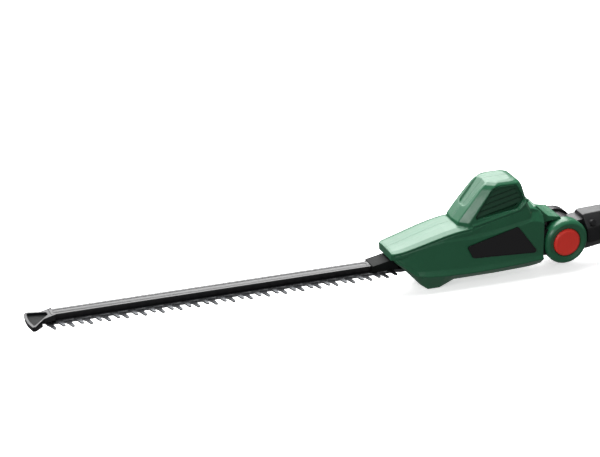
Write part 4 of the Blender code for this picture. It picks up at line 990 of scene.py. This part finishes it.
def make_strap_clamp():
    low, high = STRAP_LOW, STRAP_HIGH
    ring = lathe([(OUTER_TUBE[2] + 0.3, high), (20.5, high), (21.3, high - 0.8), (21.5, high - 2.0),
                  (21.5, high - 10.0), (20.9, high - 10.6), (20.9, low + 10.6), (21.5, low + 10.0),
                  (21.5, low + 2.0), (21.3, low + 0.8), (20.5, low), (OUTER_TUBE[2] + 0.3, low)],
                 "X", sides=96, ring=True)
    middle = (low + high) / 2
    eye = prism([rounded([(low + 1.0, 18.5), (high - 1.0, 18.5), (high - 6.0, 42.0), (low + 6.0, 42.0)],
                         [0.0, 0.0, 7.0, 7.0], 8), circle(middle, 32.5, 4.6, 40)], -3.5, 3.5, "Y")
    clamp = fuse(ring, bevelled(eye, 0.9, 3))
    piece("strap_eye_clamp", clamp, POLE, BLACK, "handle", "black_plastic", "strap_clamp")


# ---------------------------------------------------------------- rear handle and battery

HANDLE_HALF = 17.0
HANDLE_OUTER = ((1085.0, 21.5), (1085.0, -21.5), (1112.0, -30.0), (1150.0, -58.0), (1182.0, -84.0),
                (1226.0, -89.4), (1378.0, -102.6), (1404.0, -88.0), (1412.0, -30.0), (1400.0, 14.0),
                (1360.0, 21.0), (1240.0, 17.0), (1190.0, 21.0), (1140.0, 28.0), (1110.0, 26.0))
HANDLE_RADII = (5.0, 5.0, 14.0, 20.0, 14.0, 4.0, 12.0, 16.0, 26.0, 22.0, 20.0, 30.0, 20.0, 20.0, 14.0)
FINGER_GAP = ((1194.0, -17.0), (1346.0, -17.0), (1368.0, -34.0), (1364.0, -68.0), (1352.0, -76.0),
              (1226.0, -66.0), (1196.0, -56.0))
GAP_RADII = (9.0, 12.0, 12.0, 8.0, 8.0, 14.0, 14.0)
HANDLE_SCREWS = ((1160.0, -40.0), (1300.0, 6.0), (1290.0, -84.5))
TRIGGER_PIVOT = (1203.0, -13.0)


def handle_outside():
    """The loop with round edges, side grooves and the nose round the tube."""
    outline = rounded(HANDLE_OUTER, list(HANDLE_RADII), 8)
    gap = rounded(FINGER_GAP, list(GAP_RADII), 8)
    loop = bevelled(prism([outline, gap], -HANDLE_HALF, HANDLE_HALF, "Y"), 6.0, 4)
    nose = lathe([(0.0, 1150.0), (23.4, 1150.0), (21.8, 1092.0), (21.2, 1086.5), (20.4, 1085.4),
                  (0.0, 1085.4)],
                 "X", sides=96)
    grooves = []
    for side in (-1.0, 1.0):
        y = (HANDLE_HALF + 0.1) * side
        grooves.append(rail([(1128.0, y, 14.0), (1180.0, y, 8.0), (1250.0, y, 4.0), (1345.0, y, 8.0),
                             (1386.0, y, 0.0), (1397.0, y, -32.0), (1390.0, y, -76.0), (1370.0, y, -90.0),
                             (1228.0, y, -77.0), (1186.0, y, -70.0), (1152.0, y, -44.0)], 0.9))
        for i in range(5):
            x = 1118.0 + 7.0 * i
            y = (22.8 if i < 3 else HANDLE_HALF + 1.2) * side
            grooves.append(rail([(x, y, -10.0), (x + 4.0, y, 9.0)], 1.1))
    return moulded(cut(fuse(loop, nose), *grooves), HANDLE_GRAIN, 5)


def make_handle():
    outside = handle_outside()
    end, outer = OUTER_TUBE[1], OUTER_TUBE[2]
    for side, word in ((-1.0, "left"), (1.0, "right")):
        openings = [other_half(side, (1060.0, 1440.0), (-120.0, 60.0)),
                    rod(outer + 0.3, (1060.0, 0.0, 0.0), (end + 1.0, 0.0, 0.0), sides=64),
                    box((1195.0, -8.6, -24.0), (1256.0, 8.6, -1.5)), box((1206.0, -11.0, -1.6), (1240.0, 11.0,
                                                                                                 9.6)),
                    box((1212.0, -6.3, 9.0), (1240.0, 6.3, 24.0)), box((1130.0, -5.0, -9.0), (1208.0, 5.0,
                                                                                              3.0)),
                    box((1372.0, -11.0, -84.0), (1398.0, 11.0, -4.0))]
        if side > 0:
            openings += [rod(3.8, (x, 3.0, z), (x, 30.0, z), sides=32) for x, z in HANDLE_SCREWS]
        half = cut(outside.copy(), fuse(openings[0], *openings[1:]))
        piece(f"handle_shell_{word}", half, POLE, HANDLE_BLACK, "handle", "black_plastic", f"handle_{word}",
              sharp=38.0)
    outside.free()
    for number, (x, z) in enumerate(HANDLE_SCREWS, 1):
        screw(f"grip_screw_{number}", x, 13.6, z, POLE, "handle", f"handle_screw_{number}")


def make_controls():
    x, z = TRIGGER_PIVOT
    outline = rounded([(1198.5, -8.5), (1250.0, -13.0), (1253.0, -17.0), (1244.0, -27.0), (1228.0, -31.5),
                       (1212.0, -28.0), (1199.0, -17.0)], [3.0, 1.5, 2.0, 8.0, 18.0, 8.0, 3.0], 8)
    trigger = bevelled(prism([outline, circle(x, z, 1.9, 24)], -8.0, 8.0, "Y"), 1.6, 4, 25.0)
    lines = [rail([(px, -5.0, pz), (px, 5.0, pz)], 0.5)
             for px, pz in ((1222.0, -31.1), (1228.0, -31.7), (1234.0, -30.9))]
    piece("trigger_lever", cut(trigger, *lines), POLE, RED, "trigger", "red_plastic", "trigger")
    pin = rod(1.6, (x, -8.3, z), (x, 8.3, z), sides=32)
    piece("trigger_pivot_pin", pin, POLE, STEEL, "handle", "steel", "trigger_pin")
    lock = rounded([(1223.0, 9.8), (1239.0, 9.8), (1239.0, 20.0), (1234.0, 23.0), (1227.0, 22.0),
                    (1223.0, 20.0)],
                   [0.5, 0.5, 1.5, 2.5, 2.5, 1.5], 5)
    lock = bevelled(prism([lock], -6.0, 6.0, "Y"), 1.0, 3)
    ribs = [rail([(px, -7.0, pz), (px, 7.0, pz)], 0.45)
            for px, pz in ((1226.5, 22.2), (1229.5, 22.6), (1232.5, 23.1))]
    piece("lock_off_slider", cut(lock, *ribs), POLE, RED, "lock_off_button", "red_plastic", "lock_off_button")
    pad = rounded([(1250.0, 17.6), (1358.0, 21.3), (1352.0, 25.3), (1256.0, 21.4)], [0.5, 0.5, 3.0, 3.0], 6)
    pad = bevelled(prism([pad], -13.0, 13.0, "Y"), 2.0, 4)
    ridges = []
    for px in range(1262, 1350, 5):
        top = 21.4 + 0.0396 * (px - 1256.0)
        ridges.append(rail([(px, -14.0, top), (px, 14.0, top)], 0.8))
    piece("grip_top_pad", cut(pad, *ridges), POLE, RUBBER, "handle", "rubber_grip", "grip_pad")


BATTERY_X, BATTERY_Y, BATTERY_TOP = 58.0, 37.0, 51.3


def make_battery():
    """Pack in two halves with vents and side grips, its latch button, and the shoe it hangs on."""
    half_x, half_y = BATTERY_X, BATTERY_Y
    shoe = bevelled(box((-half_x + 4.0, -27.0, 51.7), (half_x - 4.0, 27.0, 57.6)), 1.2, 3)
    shoe = cut(shoe, box((-half_x - 1.0, -11.0, 50.7), (-half_x + 14.0, 11.0, 54.7)))
    piece("pack_shoe", shoe, PACK, HANDLE_BLACK, "handle", "black_plastic", "battery_shoe")
    outline = rounded([(-half_x, -half_y), (half_x, -half_y), (half_x, half_y), (-half_x, half_y)], 9.0, 8)
    base = bevelled(prism([outline], 0.0, 30.0), 3.0, 4)
    dents = []
    for side in (-1.0, 1.0):
        for i in range(5):
            x = -30.0 + 9.0 * i
            dents.append(rail([(x, (half_y + 0.4) * side, 9.0), (x + 3.0, (half_y + 0.4) * side, 23.0)], 1.4))
        y = (half_y + 0.5) * side
        dents.append(rail([(18.0, y, 8.0), (42.0, y, 8.0), (42.0, y, 23.0), (18.0, y, 23.0)], 0.9,
                          closed=True))
    piece("pack_base", cut(base, *dents), PACK, BLACK, "battery", "black_plastic", "battery_base")
    cover = bevelled(prism([outline], 30.3, BATTERY_TOP), 2.4, 4)
    well = box((-half_x - 5.0, -12.0, 33.0), (-half_x + 9.0, 12.0, 60.0))
    slits = []
    for side in (-1.0, 1.0):
        for i in range(6):
            x = half_x - 14.0 - 5.0 * i
            slits.append(side_box(side, (x, x + 2.2), (half_y - 1.4, half_y + 2.0), (36.0, 46.0)))
    piece("pack_cover", cut(cover, well, *slits), PACK, HANDLE_BLACK, "battery", "black_plastic",
          "battery_cover")
    button = bevelled(box((-half_x + 0.2, -11.6, 36.5), (-half_x + 8.6, 11.6, 50.9)), 1.6, 4)
    ribs = [rail([(-half_x + 0.2, -9.0, z), (-half_x + 0.2, 9.0, z)], 0.6) for z in (40.5, 43.5, 46.5)]
    piece("pack_latch_button", cut(button, *ribs), PACK, RED, "battery_release_button", "red_plastic",
          "battery_release_button")


# ---------------------------------------------------------------- nodes kept from the CAD model

def paint_kept_nodes():
    """The works inside keep their CAD shapes and take the same finishes."""
    for paint, names in (
            (STEEL, ("motor_can", "motor_pinion", "drive_gear", "gear_bearing_upper", "gear_bearing_lower")),
            (ALUMINIUM, ("gear_case_lower", "gear_case_upper")), (COPPER, ("motor_rotor", "terminal_block")),
            (BLACK, ("switch_module",))):
        for name in names:
            mesh = frame["nodes"][name].data
            mesh.materials.clear()
            mesh.materials.append(paint)


# ---------------------------------------------------------------- studio

CAMERA_TURN, CAMERA_TILT = math.radians(20.5), math.radians(22.9)
SENSOR_WIDTH = 36.0
LENS = 4.0 * SENSOR_WIDTH
CAMERA_DISTANCE = 3.017        # from the tilt axis, along the view
# The tilt axis, to the right of and above the middle of the view, as shares of the view's width.
AXIS_IN_VIEW = (0.428333, -0.009167)


def make_camera():
    right = Vector((math.cos(CAMERA_TURN), -math.sin(CAMERA_TURN), 0.0))
    ahead = Vector((math.sin(CAMERA_TURN) * math.cos(CAMERA_TILT),
                    math.cos(CAMERA_TURN) * math.cos(CAMERA_TILT),
                    -math.sin(CAMERA_TILT)))
    up = right.cross(ahead)
    across, above = (share * SENSOR_WIDTH / LENS for share in AXIS_IN_VIEW)
    centre = TILT - (ahead + right * across + up * above) * CAMERA_DISTANCE
    data = bpy.data.cameras.new("camera")
    data.sensor_width = SENSOR_WIDTH
    data.lens = LENS
    data.clip_end = 60.0
    camera = bpy.data.objects.new("camera", data)
    camera.matrix_world = Matrix((right, up, -ahead)).transposed().to_4x4()
    camera.matrix_world.translation = centre
    bpy.context.scene.collection.objects.link(camera)
    bpy.context.scene.camera = camera


def soft_light(name, size, power, place, target, height=None):
    data = bpy.data.lights.new(name, "AREA")
    data.shape = "RECTANGLE"
    data.size = size
    data.size_y = height or size
    data.energy = power
    light = bpy.data.objects.new(name, data)
    light.location = place
    light.rotation_euler = (Vector(target) - Vector(place)).to_track_quat("-Z", "Y").to_euler()
    light.visible_camera = False
    bpy.context.scene.collection.objects.link(light)


def make_studio():
    world = bpy.data.worlds.new("studio")
    bpy.context.scene.world = world
    world.use_nodes = True
    world.node_tree.nodes["Background"].inputs["Color"].default_value = (1.0, 1.0, 1.0, 1.0)
    world.node_tree.nodes["Background"].inputs["Strength"].default_value = 0.2
    soft_light("overhead_light", 3.0, 210.0, (-0.4, 1.2, 2.6), (-0.4, 0.0, 0.0))
    soft_light("back_light", 5.0, 150.0, (-0.6, 3.6, 2.0), (-0.5, 0.0, 0.0), 2.2)
    soft_light("front_light", 2.0, 12.0, (-0.9, -2.9, 0.9), (-0.6, 0.0, 0.0))
    soft_light("key_light", 0.9, 20.0, (-2.36, -1.26, 1.32), (-0.47, -0.03, 0.1), 0.5)
    bm = bmesh.new()
    bmesh.ops.create_grid(bm, x_segments=1, y_segments=1, size=14.0)
    mesh = bpy.data.meshes.new("floor")
    bm.to_mesh(mesh)
    bm.free()
    paint = Paint("floor_paper", 0.9, specular=0.1)
    tone = paint.mix(paint.noise(0.7, 3.0), (0.86, 0.86, 0.86), (0.90, 0.90, 0.90))
    paint.colour(tone)
    paint.shader.inputs["Emission Color"].default_value = (1.0, 1.0, 1.0, 1.0)
    paint.shader.inputs["Emission Strength"].default_value = 0.55
    mesh.materials.append(paint.material)
    floor = bpy.data.objects.new("floor", mesh)
    bpy.context.scene.collection.objects.link(floor)
    floor.visible_diffuse = False
    floor.visible_glossy = False
    bpy.context.scene.view_settings.view_transform = "Standard"


make_housing()
make_side_details()
make_head_screws()
make_blades()
make_bar()
make_tip_guard()
make_root_guard()
make_ears()
make_fork()
make_adaptor()
make_tubes()
make_collar()
make_front_grip()
make_strap_clamp()
make_handle()
make_controls()
make_battery()
paint_kept_nodes()
make_camera()
make_studio()
